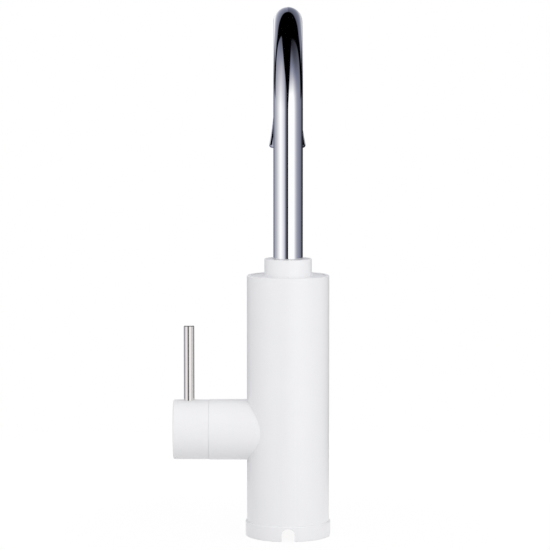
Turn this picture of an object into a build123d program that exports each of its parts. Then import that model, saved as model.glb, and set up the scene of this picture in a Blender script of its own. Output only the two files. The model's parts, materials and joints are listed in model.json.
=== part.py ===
from build123d import *
import os
from math import cos, radians, sin, sqrt

# Electric instant water heater tap: a white moulded body that holds a small
# heating tank, a side arm with the on and off valve, a chromed gooseneck
# spout that swivels, and a base skirt with an arched slot for the mains lead.
#
# Millimetres. +Z is up and Z = 0 is the worktop. The origin is the centre of
# the base's underside. The spout points to -Y, the user's side, and the
# valve arm points to +X, the user's right. The lead's slot faces +Y.

# Clearances
RUNNING_GAP = 0.1  # round a piece that turns in a bore
SEAT_GAP = 0.15  # between pieces that are fixed to each other
DISC_GAP = 0.05  # between the two lapped ceramic discs
END_FLOAT = 0.3  # left at each end of a piece that turns
SEAM_GAP = 0.2  # the seam that shows between the knob and the arm
CLOSE_GAP = 0.05  # between an O-ring or a pressed piece and its bore
CUT_OVERRUN = 1.0  # how far a cut runs past the face that it opens

# Body shell
BODY_DIAMETER = 59.2
SHELL_WALL = 2.8
SHELL_TOP = 188.5
RIM_FILLET = 0.5
LEDGE_WIDTH = 1.2
LEDGE_HEIGHT = 2.0
BOSS_DIAMETER = 6.4
BOSS_HEIGHT = 14.0
BOSS_ANGLES = (30, 150, 270)
WEB_THICKNESS = 2.0

# Valve arm
ARM_DIAMETER = 43.6
ARM_AXIS_HEIGHT = 76.8
ARM_REACH = 56.9
ARM_MOUTH_WALL = 2.8
ARM_MOUTH_DEPTH = 10.4
ARM_SHOULDER = 1.5
SEAM_CHAMFER = 0.15

# Handle
KNOB_DIAMETER = 43.1
KNOB_LENGTH = 25.6
KNOB_WALL = 2.8
KNOB_END_WALL = 3.0
KNOB_FILLET = 1.2
JOIN_OVERLAP = 0.7  # how far a boss grows into a curved wall
HUB_DIAMETER = 17.0
HUB_LENGTH = 17.5
HUB_BORE_DEPTH = 15.5
RIB_ANGLES = (225, 315)
LEVER_DIAMETER = 7.5
LEVER_REACH = 75.3  # from the arm's axis to the lever's top
LEVER_FROM_SEAM = 14.2
LEVER_SEAT_DEPTH = 1.0
LEVER_STUD_DIAMETER = 5.0
LEVER_STUD_LENGTH = 9.0
LEVER_BOSS_DIAMETER = 11.0
LEVER_CHAMFER = 0.4
GRUB_DIAMETER = 4.0
GRUB_KEY_WIDTH = 2.0
GRUB_KEY_DEPTH = 1.2
GRUB_ACCESS_DIAMETER = 4.6

# Top cap and collar
CAP_RECESS = 0.6
CAP_THICKNESS = 3.0
COLLAR_DIAMETER = 34.0
COLLAR_HEIGHT = 12.6
COLLAR_FILLET = 0.6
COLLAR_LIP = 2.0
COLLAR_GAP = 0.35
NECK_WALL = 1.6
NECK_BELOW_LIP = 1.5
BUSH_WALL = 1.6
BUSH_SLIT = 1.5

# Base skirt
SKIRT_HEIGHT = 10.8
SKIRT_LIP = 0.95
SKIRT_LIP_GAP = 0.05
SKIRT_FOOT = 5.0  # height of the floor that the shell stands on
SKIRT_FILLET = 0.7
SKIRT_EDGE_FILLET = 0.3
UPSTAND_WALL = 1.4
PLATE_TOP = 12.0
PLATE_THICKNESS = 2.5
SLOT_WIDTH = 9.4
SLOT_HEIGHT = 9.3
GASKET_WIDTH = 1.8
GASKET_HEIGHT = 1.4
GASKET_STOP = 2.0  # distance between the gasket's ends and the slot

# Screws
SCREW_DIAMETER = 3.0
SCREW_HEAD_DIAMETER = 5.2
SCREW_HEAD_HEIGHT = 1.8
SCREW_HEAD_FILLET = 0.6
SCREW_DRIVE_WIDTH = 1.0
SCREW_DRIVE_LENGTH = 3.2
SCREW_DRIVE_DEPTH = 0.9
BASE_SCREW_LENGTH = 12.0
TANK_SCREW_LENGTH = 7.0

# Water inlet. The thread is drawn at its minor diameter, that of a G1/2
# female thread.
INLET_THREAD_DIAMETER = 18.632
INLET_THREAD_LENGTH = 12.0
INLET_MOUTH = 7.5
INLET_WALL = 2.7
INLET_FLANGE_WIDTH = 2.2
INLET_FLANGE_THICKNESS = 3.0
INLET_WASHER_THICKNESS = 0.8
INLET_SHOULDER = 24.0
LOCK_NUT_ACROSS_FLATS = 28.8
LOCK_NUT_THICKNESS = 1.9
FILTER_DIAMETER = 16.0
FILTER_THICKNESS = 1.0
FILTER_HOLE_DIAMETER = 1.4
FILTER_HOLE_PITCH = 2.6
FILTER_HOLE_ROWS = 5
WATER_BORE_DIAMETER = 13.0
SPIGOT_WALL = 2.0
INLET_SPIGOT_LENGTH = 6.0
O_RING_SECTION = 1.2
O_RING_SETBACK = 1.6  # from a spigot's end to the middle of its ring

# Flow sensor
FLOW_WALL = 6.0
SPIDER_THICKNESS = 2.0
SPIDER_HUB_DIAMETER = 5.0
SPIDER_ARM_WIDTH = 1.4
SPIDER_ARMS = 3
TURBINE_LENGTH = 11.0
TURBINE_HUB_DIAMETER = 5.0
TURBINE_BLADES = 6
BLADE_THICKNESS = 0.9
BLADE_TILT = 25
AXLE_DIAMETER = 1.6
TURBINE_MAGNET_LENGTH = 2.4
TURBINE_MAGNET_WALL = 2.8
PICKUP_SIZE = 4.0

# Valve body. Its round part fits the arm, and its manifold has flat sides.
VALVE_BACK = -13.0
MANIFOLD_WIDTH = 27.0
VALVE_FLANGE_LENGTH = 4.0
CHAMBER_DIAMETER = 26.0
CHAMBER_FLOOR = 22.0
PORT_DIAMETER = 7.0
PORT_OFFSET = 6.4  # from the arm's axis to each port's axis
SOCKET_FLOOR_OFFSET = 10.9  # from the arm's axis to each socket's floor
VALVE_SHOULDER_GAP = 1.0

# Cartridge
SEAL_THICKNESS = 2.0
DISC_THICKNESS = 3.5
DISC_SLOT_WIDTH = 5.0
DISC_SLOT_DEPTH = 2.0
CARTRIDGE_WALL = 1.2
CARTRIDGE_LENGTH = 20.0
CARTRIDGE_END_WALL = 3.0
LUG_DIAMETER = 2.8
LUG_LENGTH = 1.2
LUG_RADIUS = 7.5
STEM_NECK_DIAMETER = 10.0
STEM_DIAMETER = 9.0
STEM_FLAT_DEPTH = 0.9
STEM_TIP_GAP = 1.0
NUT_BORE_DIAMETER = 12.0
NUT_SLOT_WIDTH = 3.0
NUT_SLOT_DEPTH = 2.0
NUT_SLOT_INSET = 1.0

# Lock ring in the arm's mouth, and the handle's position sensor on it
RING_WALL = 2.4
RING_WEB = 1.8
RING_WEB_BORE = 18.0
GUIDE_REACH = 3.0  # how far the ring reaches into the knob
GUIDE_WALL = 1.4
RING_SETBACK = 0.2
MAGNET_DIAMETER = 4.0
MAGNET_LENGTH = 3.0
MAGNET_RADIUS = 12.5
MAGNET_BOSS_WALL = 1.2
MAGNET_BOSS_GAP = 0.6
SENSOR_ANGLE = 225
SENSOR_BOARD_LENGTH = 6.0
SENSOR_BOARD_WIDTH = 5.0
SENSOR_BOARD_RADIUS = 12.9
SENSOR_CHIP_SIZE = 3.0
SENSOR_CHIP_HEIGHT = 1.4
SENSOR_CHIP_RADIUS = 11.5
SENSOR_LEAD_DIAMETER = 1.0
SENSOR_LEAD_RADIUS = 15.3  # from the arm's axis
SENSOR_LEAD_INSET = 2.0  # from the control board's edge
SENSOR_LEAD_BEND = 4.0
LEAD_HOLE_GAP = 0.2
LEAD_WINDOW_SIZE = 3.0

# Heating tank
TANK_DIAMETER = 40.0
TANK_WALL = 2.0
TANK_ABOVE_ARM = 30.2  # from the arm's axis to the tank's base
TANK_BASE_THICKNESS = 5.0
TANK_PLUG_HEIGHT = 4.0
TANK_FLANGE_THICKNESS = 3.0
FLANGE_CUT_GAP = 2.0  # between the flange's straight front and the board
TANK_TOP_THICKNESS = 3.0
TANK_SCREW_ANGLES = (-20, 50, 130, 200)
TANK_SEAL_SECTION = 1.6
TANK_INLET_DIAMETER = 10.0
LEDGE_PASS_GAP = 0.2

# Heating element, a hairpin with its legs through the tank's base
ELEMENT_DIAMETER = 5.0
ELEMENT_SPACING = 14.0
ELEMENT_SETBACK = 11.0  # in front of the axis
ELEMENT_BELOW_SOCKET = 3.9
ELEMENT_NUT_ACROSS_FLATS = 7.2
ELEMENT_NUT_THICKNESS = 2.5
STUD_DIAMETER = 3.0
STUD_LENGTH = 6.5

# Thermal cut-out and temperature probe
CUTOUT_DIAMETER = 14.0
CUTOUT_HEIGHT = 5.0
CUTOUT_SETBACK = 16.6  # behind the axis
CUTOUT_TAB_SPAN = 24.0
CUTOUT_TAB_WIDTH = 4.8
CUTOUT_TAB_THICKNESS = 0.8
CUTOUT_LEAD_SPACING = 21.0
PROBE_DIAMETER = 2.6
PROBE_HEAD_DIAMETER = 4.0
PROBE_HEAD_HEIGHT = 3.0
PROBE_DEPTH = 14.0
PROBE_TIP_RADIUS = 0.8
PROBE_PLACE = (14.0, -1.0)
HEATER_LEAD_DIAMETER = 2.0
PROBE_LEAD_DIAMETER = 1.0

# Spout
TUBE_DIAMETER = 21.2
TUBE_WALL = 1.0
SPOUT_TOP = 380.5
BEND_RADIUS = 62.0
FERRULE_BORE_DIAMETER = 14.4
FERRULE_WALL = 2.3
FERRULE_SPIGOT = 10.0
FERRULE_FLANGE_WIDTH = 1.1
FERRULE_FLANGE_THICKNESS = 2.9
FERRULE_SEAT = 2.4  # from the tank's top to the floor of its neck
SOCKET_DEPTH = 18.0
SOCKET_WALL = 3.0
SPOUT_RING_SECTION = 1.4
SPOUT_RING_SPACING = 6.0

# Nozzle and aerator
OUTLET_LEG = 6.4  # straight tube between the bend and the nozzle
NOZZLE_STRAIGHT = 3.0
NOZZLE_FLARE_HEIGHT = 22.0
NOZZLE_SWELL = 0.35  # how far the flare's profile curves in
NOZZLE_DIAMETER = 27.6
NOZZLE_LIP_HEIGHT = 2.4
NOZZLE_LIP_RADIUS = 2.0
NOZZLE_SPIGOT = 8.0
NOZZLE_BORE_DIAMETER = 16.8
MOUTH_DIAMETER = 22.6
MOUTH_DEPTH = 2.5
AERATOR_DIAMETER = 21.0
AERATOR_HEIGHT = 9.0
AERATOR_FACE = 2.4
AERATOR_WALL = 1.6
AERATOR_HOLE_DIAMETER = 1.8
AERATOR_HOLE_PITCH = 2.9
AERATOR_HOLE_ROWS = 5
AERATOR_WASHER_THICKNESS = 2.0
AERATOR_WASHER_WIDTH = 2.6

# Control board, upright in two rails at the front of the shell
BOARD_THICKNESS = 1.6
BOARD_SETBACK = 10.2  # from the shell's bore to the board's inner face
BOARD_WIDTH = 34.0
BOARD_BOTTOM = 28.0
BOARD_BELOW_TANK = 1.0
RAIL_LIP = 1.2
RAIL_THICKNESS = 1.6
RAIL_STOP = 1.5
TERMINAL_SIZE = (16.0, 6.0, 14.0)
TERMINAL_RISE = 3.0  # above the board's lower edge
TERMINAL_WAYS = 3
TERMINAL_HOLE_DIAMETER = 3.2
TERMINAL_HOLE_DEPTH = 9.3
RELAY_SIZE = (15.0, 6.0, 19.0)
RELAY_RISE = 26.0
RELAY_FILLET = 0.5
HEADER_SIZE = (8.0, 5.5, 6.0)
HEADER_BELOW_TOP = 16.0  # below the board's upper edge

# Indicator lamp in the front of the shell
LAMP_BELOW_TOP = 23.5
LENS_DIAMETER = 7.0
LENS_DEPTH = 3.4
LAMP_DIAMETER = 5.0
LAMP_DOME_RADIUS = 1.0
LAMP_BOSS_WALL = 1.4
LAMP_BOSS_LENGTH = 4.2
LAMP_BOARD_SIZE = 9.0
LAMP_BOARD_THICKNESS = 1.0
LAMP_LEAD_DIAMETER = 1.0

# Mains lead gland
GLAND_BORE_DIAMETER = 8.0
GLAND_WALL = 0.8
GLAND_FLANGE_WIDTH = 0.5
GLAND_FLANGE_THICKNESS = 1.2
GLAND_FROM_WALL = 5.45  # from the cavity's wall to the gland's axis

# Sizes and places worked out from those above
body_radius = BODY_DIAMETER / 2
shell_bore = body_radius - SHELL_WALL
ledge_bore = shell_bore - LEDGE_WIDTH
arm_radius = ARM_DIAMETER / 2
mouth_bore = arm_radius - ARM_MOUTH_WALL
valve_bore = mouth_bore - ARM_SHOULDER
arm_shoulder_x = ARM_REACH - ARM_MOUTH_DEPTH
arm_bore_start = sqrt(shell_bore**2 - valve_bore**2)
board_face = shell_bore - BOARD_SETBACK
board_outer = board_face + BOARD_THICKNESS
tank_flange_front = board_face - FLANGE_CUT_GAP

knob_radius = KNOB_DIAMETER / 2
knob_bore = knob_radius - KNOB_WALL
knob_start = ARM_REACH + SEAM_GAP
knob_end = knob_start + KNOB_LENGTH
knob_floor = knob_end - KNOB_END_WALL
hub_start = knob_floor - HUB_LENGTH
hub_bore = STEM_DIAMETER / 2 + SEAT_GAP
hub_bore_end = hub_start + HUB_BORE_DEPTH
lever_x = knob_start + LEVER_FROM_SEAM
lever_seat = ARM_AXIS_HEIGHT + knob_radius - LEVER_SEAT_DEPTH
lever_top = ARM_AXIS_HEIGHT + LEVER_REACH

cap_top = SHELL_TOP - CAP_RECESS
cap_bottom = cap_top - CAP_THICKNESS
collar_top = cap_top + COLLAR_HEIGHT
tube_radius = TUBE_DIAMETER / 2
tube_bore = tube_radius - TUBE_WALL
bush_bore = tube_radius + RUNNING_GAP
bush_radius = bush_bore + BUSH_WALL
bush_top = collar_top - COLLAR_LIP
neck_bore = bush_radius + SEAT_GAP
neck_radius = neck_bore + NECK_WALL
neck_top = bush_top - NECK_BELOW_LIP

skirt_bore = body_radius + SKIRT_LIP_GAP
skirt_radius = skirt_bore + SKIRT_LIP
upstand_radius = shell_bore - SEAT_GAP
cavity_radius = upstand_radius - UPSTAND_WALL
plate_bottom = PLATE_TOP - PLATE_THICKNESS
boss_radius = BOSS_DIAMETER / 2
base_screw_radius = cavity_radius - boss_radius
gasket_middle = (cavity_radius + skirt_radius) / 2
gland_setback = cavity_radius - GLAND_FROM_WALL

thread_radius = INLET_THREAD_DIAMETER / 2
thread_end = INLET_MOUTH + INLET_THREAD_LENGTH
inlet_radius = thread_radius + INLET_WALL
inlet_flange_radius = inlet_radius + INLET_FLANGE_WIDTH
inlet_flange_bottom = PLATE_TOP + INLET_WASHER_THICKNESS
filter_top = thread_end + FILTER_THICKNESS
water_bore = WATER_BORE_DIAMETER / 2
spigot_radius = water_bore + SPIGOT_WALL
spigot_socket = spigot_radius + SEAT_GAP
inlet_top = INLET_SHOULDER + INLET_SPIGOT_LENGTH
spigot_ring_radius = spigot_socket - CLOSE_GAP
inlet_ring_height = inlet_top - O_RING_SETBACK

valve_radius = valve_bore - SEAT_GAP
valve_bottom = ARM_AXIS_HEIGHT - valve_radius
valve_end = arm_shoulder_x + VALVE_FLANGE_LENGTH
lower_socket_floor = ARM_AXIS_HEIGHT - SOCKET_FLOOR_OFFSET
upper_socket_floor = ARM_AXIS_HEIGHT + SOCKET_FLOOR_OFFSET
lower_port = ARM_AXIS_HEIGHT - PORT_OFFSET
upper_port = ARM_AXIS_HEIGHT + PORT_OFFSET
port_radius = PORT_DIAMETER / 2
chamber_radius = CHAMBER_DIAMETER / 2

flow_radius = water_bore + FLOW_WALL
flow_shoulder = inlet_top + SPIDER_THICKNESS
flow_body_top = valve_bottom - VALVE_SHOULDER_GAP
flow_spigot_top = lower_socket_floor - SEAT_GAP
flow_ring_height = flow_spigot_top - O_RING_SETBACK
turbine_bottom = flow_shoulder + END_FLOAT
turbine_top = turbine_bottom + TURBINE_LENGTH
upper_spider = turbine_top + END_FLOAT
axle_top = upper_spider + SPIDER_THICKNESS

cartridge_radius = chamber_radius - SEAT_GAP
cartridge_bore = cartridge_radius - CARTRIDGE_WALL
seal_end = CHAMBER_FLOOR + SEAL_THICKNESS
fixed_disc_end = seal_end + DISC_THICKNESS
moving_disc_start = fixed_disc_end + DISC_GAP
moving_disc_end = moving_disc_start + DISC_THICKNESS
cartridge_end = seal_end + CARTRIDGE_LENGTH
cartridge_ceiling = cartridge_end - CARTRIDGE_END_WALL
driver_end = cartridge_ceiling - END_FLOAT
turning_disc_radius = cartridge_bore - END_FLOAT
neck_hole = STEM_NECK_DIAMETER / 2 + RUNNING_GAP
stem_tip = hub_bore_end - STEM_TIP_GAP

ring_radius = mouth_bore - SEAT_GAP
ring_bore = ring_radius - RING_WALL
ring_end = ARM_REACH - RING_SETBACK
ring_web_start = ring_end - RING_WEB
guide_radius = knob_bore - END_FLOAT
guide_end = knob_start + GUIDE_REACH
magnet_start = guide_end + MAGNET_BOSS_GAP

tank_radius = TANK_DIAMETER / 2
tank_bore = tank_radius - TANK_WALL
tank_base_bottom = ARM_AXIS_HEIGHT + TANK_ABOVE_ARM
tank_base_top = tank_base_bottom + TANK_BASE_THICKNESS
tank_flange_radius = ledge_bore - LEDGE_PASS_GAP
tank_screw_radius = (tank_radius + tank_flange_radius) / 2
tank_top = cap_bottom
tank_ceiling = tank_top - TANK_TOP_THICKNESS
tank_plug_top = tank_base_top + TANK_PLUG_HEIGHT
tank_spigot_bottom = upper_socket_floor + SEAT_GAP
tank_ring_height = tank_spigot_bottom + O_RING_SETBACK

ferrule_bore = FERRULE_BORE_DIAMETER / 2
ferrule_radius = ferrule_bore + FERRULE_WALL
socket_bore = ferrule_radius + RUNNING_GAP
neck_floor = tank_top + FERRULE_SEAT
ferrule_flange_bottom = neck_floor + END_FLOAT
tube_bottom = ferrule_flange_bottom + FERRULE_FLANGE_THICKNESS
socket_bottom = tank_top - SOCKET_DEPTH
element_top = socket_bottom - ELEMENT_BELOW_SOCKET
bend_height = SPOUT_TOP - tube_radius - BEND_RADIUS
outlet_y = -2 * BEND_RADIUS

nozzle_top = bend_height - OUTLET_LEG
nozzle_flare_top = nozzle_top - NOZZLE_STRAIGHT
nozzle_flare_bottom = nozzle_flare_top - NOZZLE_FLARE_HEIGHT
nozzle_bottom = nozzle_flare_bottom - NOZZLE_LIP_HEIGHT
aerator_bottom = nozzle_bottom + MOUTH_DEPTH
aerator_top = aerator_bottom + AERATOR_HEIGHT
aerator_washer_top = aerator_top + AERATOR_WASHER_THICKNESS
aerator_radius = AERATOR_DIAMETER / 2

board_top = tank_base_bottom - BOARD_BELOW_TANK
rail_middle = board_face + BOARD_THICKNESS / 2
terminal_bottom = BOARD_BOTTOM + TERMINAL_RISE
relay_bottom = BOARD_BOTTOM + RELAY_RISE
header_bottom = board_top - HEADER_BELOW_TOP
sensor_lead_end = BOARD_WIDTH / 2 - SENSOR_LEAD_INSET
lamp_height = SHELL_TOP - LAMP_BELOW_TOP
lamp_board_face = shell_bore - LAMP_BOSS_LENGTH
lamp_boss_bore = LENS_DIAMETER / 2 + SEAT_GAP
lamp_lead_y = -(lamp_board_face - LAMP_BOARD_THICKNESS / 2)
gland_radius = GLAND_BORE_DIAMETER / 2 + GLAND_WALL
gland_flange_radius = gland_radius + GLAND_FLANGE_WIDTH

# The arm's axis runs along +X. In this plane, local x is +Y and local y is +Z.
arm_plane = Plane(origin=(0, 0, ARM_AXIS_HEIGHT), x_dir=(0, 1, 0), z_dir=(1, 0, 0))
arm_axis = Axis((0, 0, ARM_AXIS_HEIGHT), (1, 0, 0))
half_plane = Plane.XY.offset(ARM_AXIS_HEIGHT)
outlet_plane = Plane.XZ.offset(-outlet_y)
outlet_axis = Axis((0, outlet_y, 0), (0, 0, 1))


def turned(points, plane=Plane.XZ, axis=Axis.Z):
    """A solid turned from a closed outline of (radius, height) points."""
    with BuildPart() as piece:
        with BuildSketch(plane):
            with BuildLine():
                Polyline(*points, close=True)
            make_face()
        revolve(axis=axis)
    return piece.part


def turned_on_arm(points):
    """A solid turned about the arm's axis from (x, radius) points."""
    return turned(points, half_plane, arm_axis)


def washer(outer, inner, bottom, top):
    """A flat ring round the Z axis."""
    return turned([(inner, bottom), (outer, bottom), (outer, top), (inner, top)])


def seal_ring(inner, section, height):
    """An O-ring round the Z axis, at the size it has when fitted."""
    with BuildPart() as ring:
        with BuildSketch(Plane.XZ):
            with Locations((inner + section / 2, height)):
                Circle(section / 2)
        revolve(axis=Axis.Z)
    return ring.part


def block(width, depth, height, bottom_centre):
    """A box that stands on the middle of its underside."""
    with BuildPart(Plane(bottom_centre)) as piece:
        Box(width, depth, height, align=(Align.CENTER, Align.CENTER, Align.MIN))
    return piece.part


def screw(head_face, length):
    """A pan-head screw that points up, its head below head_face."""
    with BuildPart(Plane(head_face)) as piece:
        Cylinder(SCREW_DIAMETER / 2, length, align=(Align.CENTER, Align.CENTER, Align.MIN))
        Cylinder(
            SCREW_HEAD_DIAMETER / 2,
            SCREW_HEAD_HEIGHT,
            align=(Align.CENTER, Align.CENTER, Align.MAX),
        )
        fillet(piece.faces().sort_by(Axis.Z)[0].edges(), SCREW_HEAD_FILLET)
        with Locations((0, 0, -SCREW_HEAD_HEIGHT)):
            for turn in (0, 90):
                Box(
                    SCREW_DRIVE_LENGTH,
                    SCREW_DRIVE_WIDTH,
                    2 * SCREW_DRIVE_DEPTH,
                    rotation=(0, 0, turn),
                    mode=Mode.SUBTRACT,
                )
    return piece.part


def lead(points, diameter, bends=None):
    """An insulated lead along straight runs joined by tangent arcs."""
    with BuildPart() as piece:
        with BuildLine() as route:
            if bends is None:
                Line(*points)
            else:
                FilletPolyline(*points, radius=bends)
        path = route.wire()
        with BuildSketch(Plane(origin=path @ 0, z_dir=path % 0)):
            Circle(diameter / 2)
        sweep(path=path)
    return piece.part


def group(pieces):
    """Several separate solids that share one node."""
    return Compound(children=list(pieces))


# The arched slot for the mains lead, through the skirt, the shell and the
# upstand, at +Y
with BuildPart() as lead_slot:
    with BuildSketch(Plane.XZ.offset(-skirt_radius - CUT_OVERRUN)):
        with Locations((0, (SLOT_HEIGHT - SLOT_WIDTH / 2) / 2)):
            Rectangle(SLOT_WIDTH, SLOT_HEIGHT - SLOT_WIDTH / 2)
        with Locations((0, SLOT_HEIGHT - SLOT_WIDTH / 2)):
            Circle(SLOT_WIDTH / 2)
    extrude(amount=skirt_radius - gland_setback)

# Body shell with its arm, moulded in one
with BuildPart() as body_shell:
    with BuildSketch(Plane.XY.offset(SKIRT_FOOT)):
        Circle(body_radius)
    extrude(amount=SHELL_TOP - SKIRT_FOOT)
    fillet(body_shell.edges().sort_by(Axis.Z)[-1], RIM_FILLET)
    with BuildSketch(arm_plane):
        Circle(arm_radius)
    extrude(amount=ARM_REACH)
    chamfer(body_shell.faces().sort_by(Axis.X)[-1].edges(), SEAM_CHAMFER)
    with BuildSketch(Plane.XY.offset(SKIRT_FOOT)):
        Circle(shell_bore)
    extrude(amount=SHELL_TOP - SKIRT_FOOT, mode=Mode.SUBTRACT)
    # Ledge that the cap stands on
    with BuildSketch(Plane.XY.offset(cap_bottom - LEDGE_HEIGHT)):
        Circle(shell_bore + SHELL_WALL / 2)
        Circle(ledge_bore, mode=Mode.SUBTRACT)
    extrude(amount=LEDGE_HEIGHT)
    # Screw bosses, each tied to the wall by a web
    with BuildSketch(Plane.XY.offset(PLATE_TOP)):
        with PolarLocations(0, len(BOSS_ANGLES), start_angle=BOSS_ANGLES[0]):
            with Locations((base_screw_radius, 0)):
                Circle(boss_radius)
            with Locations(((base_screw_radius + shell_bore) / 2, 0)):
                Rectangle(shell_bore - base_screw_radius + SHELL_WALL / 2, WEB_THICKNESS)
    extrude(amount=BOSS_HEIGHT)
    with BuildSketch(Plane.XY.offset(PLATE_TOP)):
        with PolarLocations(base_screw_radius, len(BOSS_ANGLES), start_angle=BOSS_ANGLES[0]):
            Circle(SCREW_DIAMETER / 2 + SEAT_GAP)
    extrude(amount=BASE_SCREW_LENGTH - PLATE_THICKNESS + CUT_OVERRUN, mode=Mode.SUBTRACT)
    # Rails for the control board, closed below to stop it
    for bottom, grooved in ((BOARD_BOTTOM - RAIL_STOP, False), (BOARD_BOTTOM, True)):
        with BuildSketch(Plane.XY.offset(bottom)):
            with Locations((0, -rail_middle)):
                Rectangle(BODY_DIAMETER, BOARD_THICKNESS + 2 * SEAT_GAP + 2 * RAIL_THICKNESS)
                Rectangle(BOARD_WIDTH - 2 * RAIL_LIP, BODY_DIAMETER, mode=Mode.SUBTRACT)
                if grooved:
                    Rectangle(
                        BOARD_WIDTH + 2 * SEAT_GAP,
                        BOARD_THICKNESS + 2 * SEAT_GAP,
                        mode=Mode.SUBTRACT,
                    )
            Circle(shell_bore + SHELL_WALL / 2, mode=Mode.INTERSECT)
        extrude(amount=board_top - BOARD_BOTTOM if grooved else RAIL_STOP)
    # Bore for the valve, and the wider mouth that its flange and ring fit
    with BuildSketch(arm_plane.offset(arm_bore_start)):
        Circle(valve_bore)
    extrude(amount=ARM_REACH, mode=Mode.SUBTRACT)
    with BuildSketch(arm_plane.offset(arm_shoulder_x)):
        Circle(mouth_bore)
    extrude(amount=ARM_MOUTH_DEPTH, mode=Mode.SUBTRACT)
    # Boss behind the indicator lens
    with BuildSketch(Plane.XZ.offset(lamp_board_face)):
        with Locations((0, lamp_height)):
            Circle(lamp_boss_bore + LAMP_BOSS_WALL)
    extrude(amount=shell_bore - lamp_board_face + SHELL_WALL / 2)
    with BuildSketch(Plane.XZ.offset(lamp_board_face)):
        with Locations((0, lamp_height)):
            Circle(lamp_boss_bore)
    extrude(amount=body_radius, mode=Mode.SUBTRACT)
    add(lead_slot.part, mode=Mode.SUBTRACT)

# Base skirt: lip, foot, upstand and floor plate in one
with BuildPart() as base_skirt:
    with BuildSketch(Plane.XZ):
        with BuildLine():
            Polyline(
                (inlet_radius + SEAT_GAP, plate_bottom),
                (cavity_radius, plate_bottom),
                (cavity_radius, 0),
                (skirt_radius, 0),
                (skirt_radius, SKIRT_HEIGHT),
                (skirt_bore, SKIRT_HEIGHT),
                (skirt_bore, SKIRT_FOOT),
                (upstand_radius, SKIRT_FOOT),
                (upstand_radius, PLATE_TOP),
                (inlet_radius + SEAT_GAP, PLATE_TOP),
                close=True,
            )
        make_face()
    revolve(axis=Axis.Z)
    skirt_edges = base_skirt.edges().filter_by(GeomType.CIRCLE)
    outer_edges = skirt_edges.filter_by(lambda e: abs(e.radius - skirt_radius) < 0.01)
    fillet(outer_edges.sort_by(Axis.Z)[-1], SKIRT_FILLET)
    fillet(outer_edges.sort_by(Axis.Z)[0], SKIRT_EDGE_FILLET)
    add(lead_slot.part, mode=Mode.SUBTRACT)
    with BuildSketch(Plane.XY.offset(plate_bottom)):
        with PolarLocations(base_screw_radius, len(BOSS_ANGLES), start_angle=BOSS_ANGLES[0]):
            Circle(SCREW_DIAMETER / 2 + SEAT_GAP)
        with Locations((0, gland_setback)):
            Circle(gland_radius + SEAT_GAP)
    extrude(amount=PLATE_THICKNESS, mode=Mode.SUBTRACT)
    with BuildSketch():
        Circle(gasket_middle + GASKET_WIDTH / 2 + SEAT_GAP)
        Circle(gasket_middle - GASKET_WIDTH / 2 - SEAT_GAP, mode=Mode.SUBTRACT)
        with Locations((0, skirt_radius)):
            Rectangle(
                SLOT_WIDTH + 2 * (GASKET_STOP - SEAT_GAP), skirt_radius, mode=Mode.SUBTRACT
            )
    extrude(amount=GASKET_HEIGHT, mode=Mode.SUBTRACT)

# Gasket in the skirt's underside, open at the slot
with BuildPart() as base_gasket:
    with BuildSketch():
        Circle(gasket_middle + GASKET_WIDTH / 2)
        Circle(gasket_middle - GASKET_WIDTH / 2, mode=Mode.SUBTRACT)
        with Locations((0, skirt_radius)):
            Rectangle(SLOT_WIDTH + 2 * GASKET_STOP, skirt_radius, mode=Mode.SUBTRACT)
    extrude(amount=GASKET_HEIGHT)

# Screws that hold the skirt to the shell's bosses
base_screws = [
    screw(
        (
            base_screw_radius * cos(radians(angle)),
            base_screw_radius * sin(radians(angle)),
            plate_bottom,
        ),
        BASE_SCREW_LENGTH,
    )
    for angle in BOSS_ANGLES
]

# Rubber gland for the mains lead, snapped into the floor plate
with BuildPart() as cable_gland:
    with BuildSketch(Plane.XY.offset(plate_bottom)):
        with Locations((0, gland_setback)):
            Circle(gland_radius)
    extrude(amount=PLATE_THICKNESS)
    for flange_bottom in (plate_bottom - GLAND_FLANGE_THICKNESS, PLATE_TOP):
        with BuildSketch(Plane.XY.offset(flange_bottom)):
            with Locations((0, gland_setback)):
                Circle(gland_flange_radius)
        extrude(amount=GLAND_FLANGE_THICKNESS)
    with Locations((0, gland_setback, PLATE_TOP)):
        Hole(GLAND_BORE_DIAMETER / 2)


def ring_groove(outer, section, height):
    """The groove that an O-ring sits in, cut into a spigot."""
    half_width = section / 2 + SEAT_GAP
    return washer(outer + CUT_OVERRUN, outer - section, height - half_width, height + half_width)


def spigot_ring(height):
    """The O-ring of a water spigot."""
    return seal_ring(spigot_ring_radius - O_RING_SECTION, O_RING_SECTION, height)


# Brass inlet fitting, a G1/2 socket below and a spigot above
inlet_turning = turned(
    [
        (thread_radius, INLET_MOUTH),
        (inlet_radius, INLET_MOUTH),
        (inlet_radius, inlet_flange_bottom),
        (inlet_flange_radius, inlet_flange_bottom),
        (inlet_flange_radius, inlet_flange_bottom + INLET_FLANGE_THICKNESS),
        (inlet_radius, inlet_flange_bottom + INLET_FLANGE_THICKNESS),
        (inlet_radius, INLET_SHOULDER),
        (spigot_radius, INLET_SHOULDER),
        (spigot_radius, inlet_top),
        (water_bore, inlet_top),
        (water_bore, filter_top),
        (FILTER_DIAMETER / 2, filter_top),
        (FILTER_DIAMETER / 2, thread_end),
        (thread_radius, thread_end),
    ]
)
with BuildPart() as inlet_fitting:
    add(inlet_turning)
    add(ring_groove(spigot_ring_radius, O_RING_SECTION, inlet_ring_height), mode=Mode.SUBTRACT)
inlet_washer = washer(
    inlet_flange_radius, inlet_radius + SEAT_GAP, PLATE_TOP, inlet_flange_bottom
)

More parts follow.
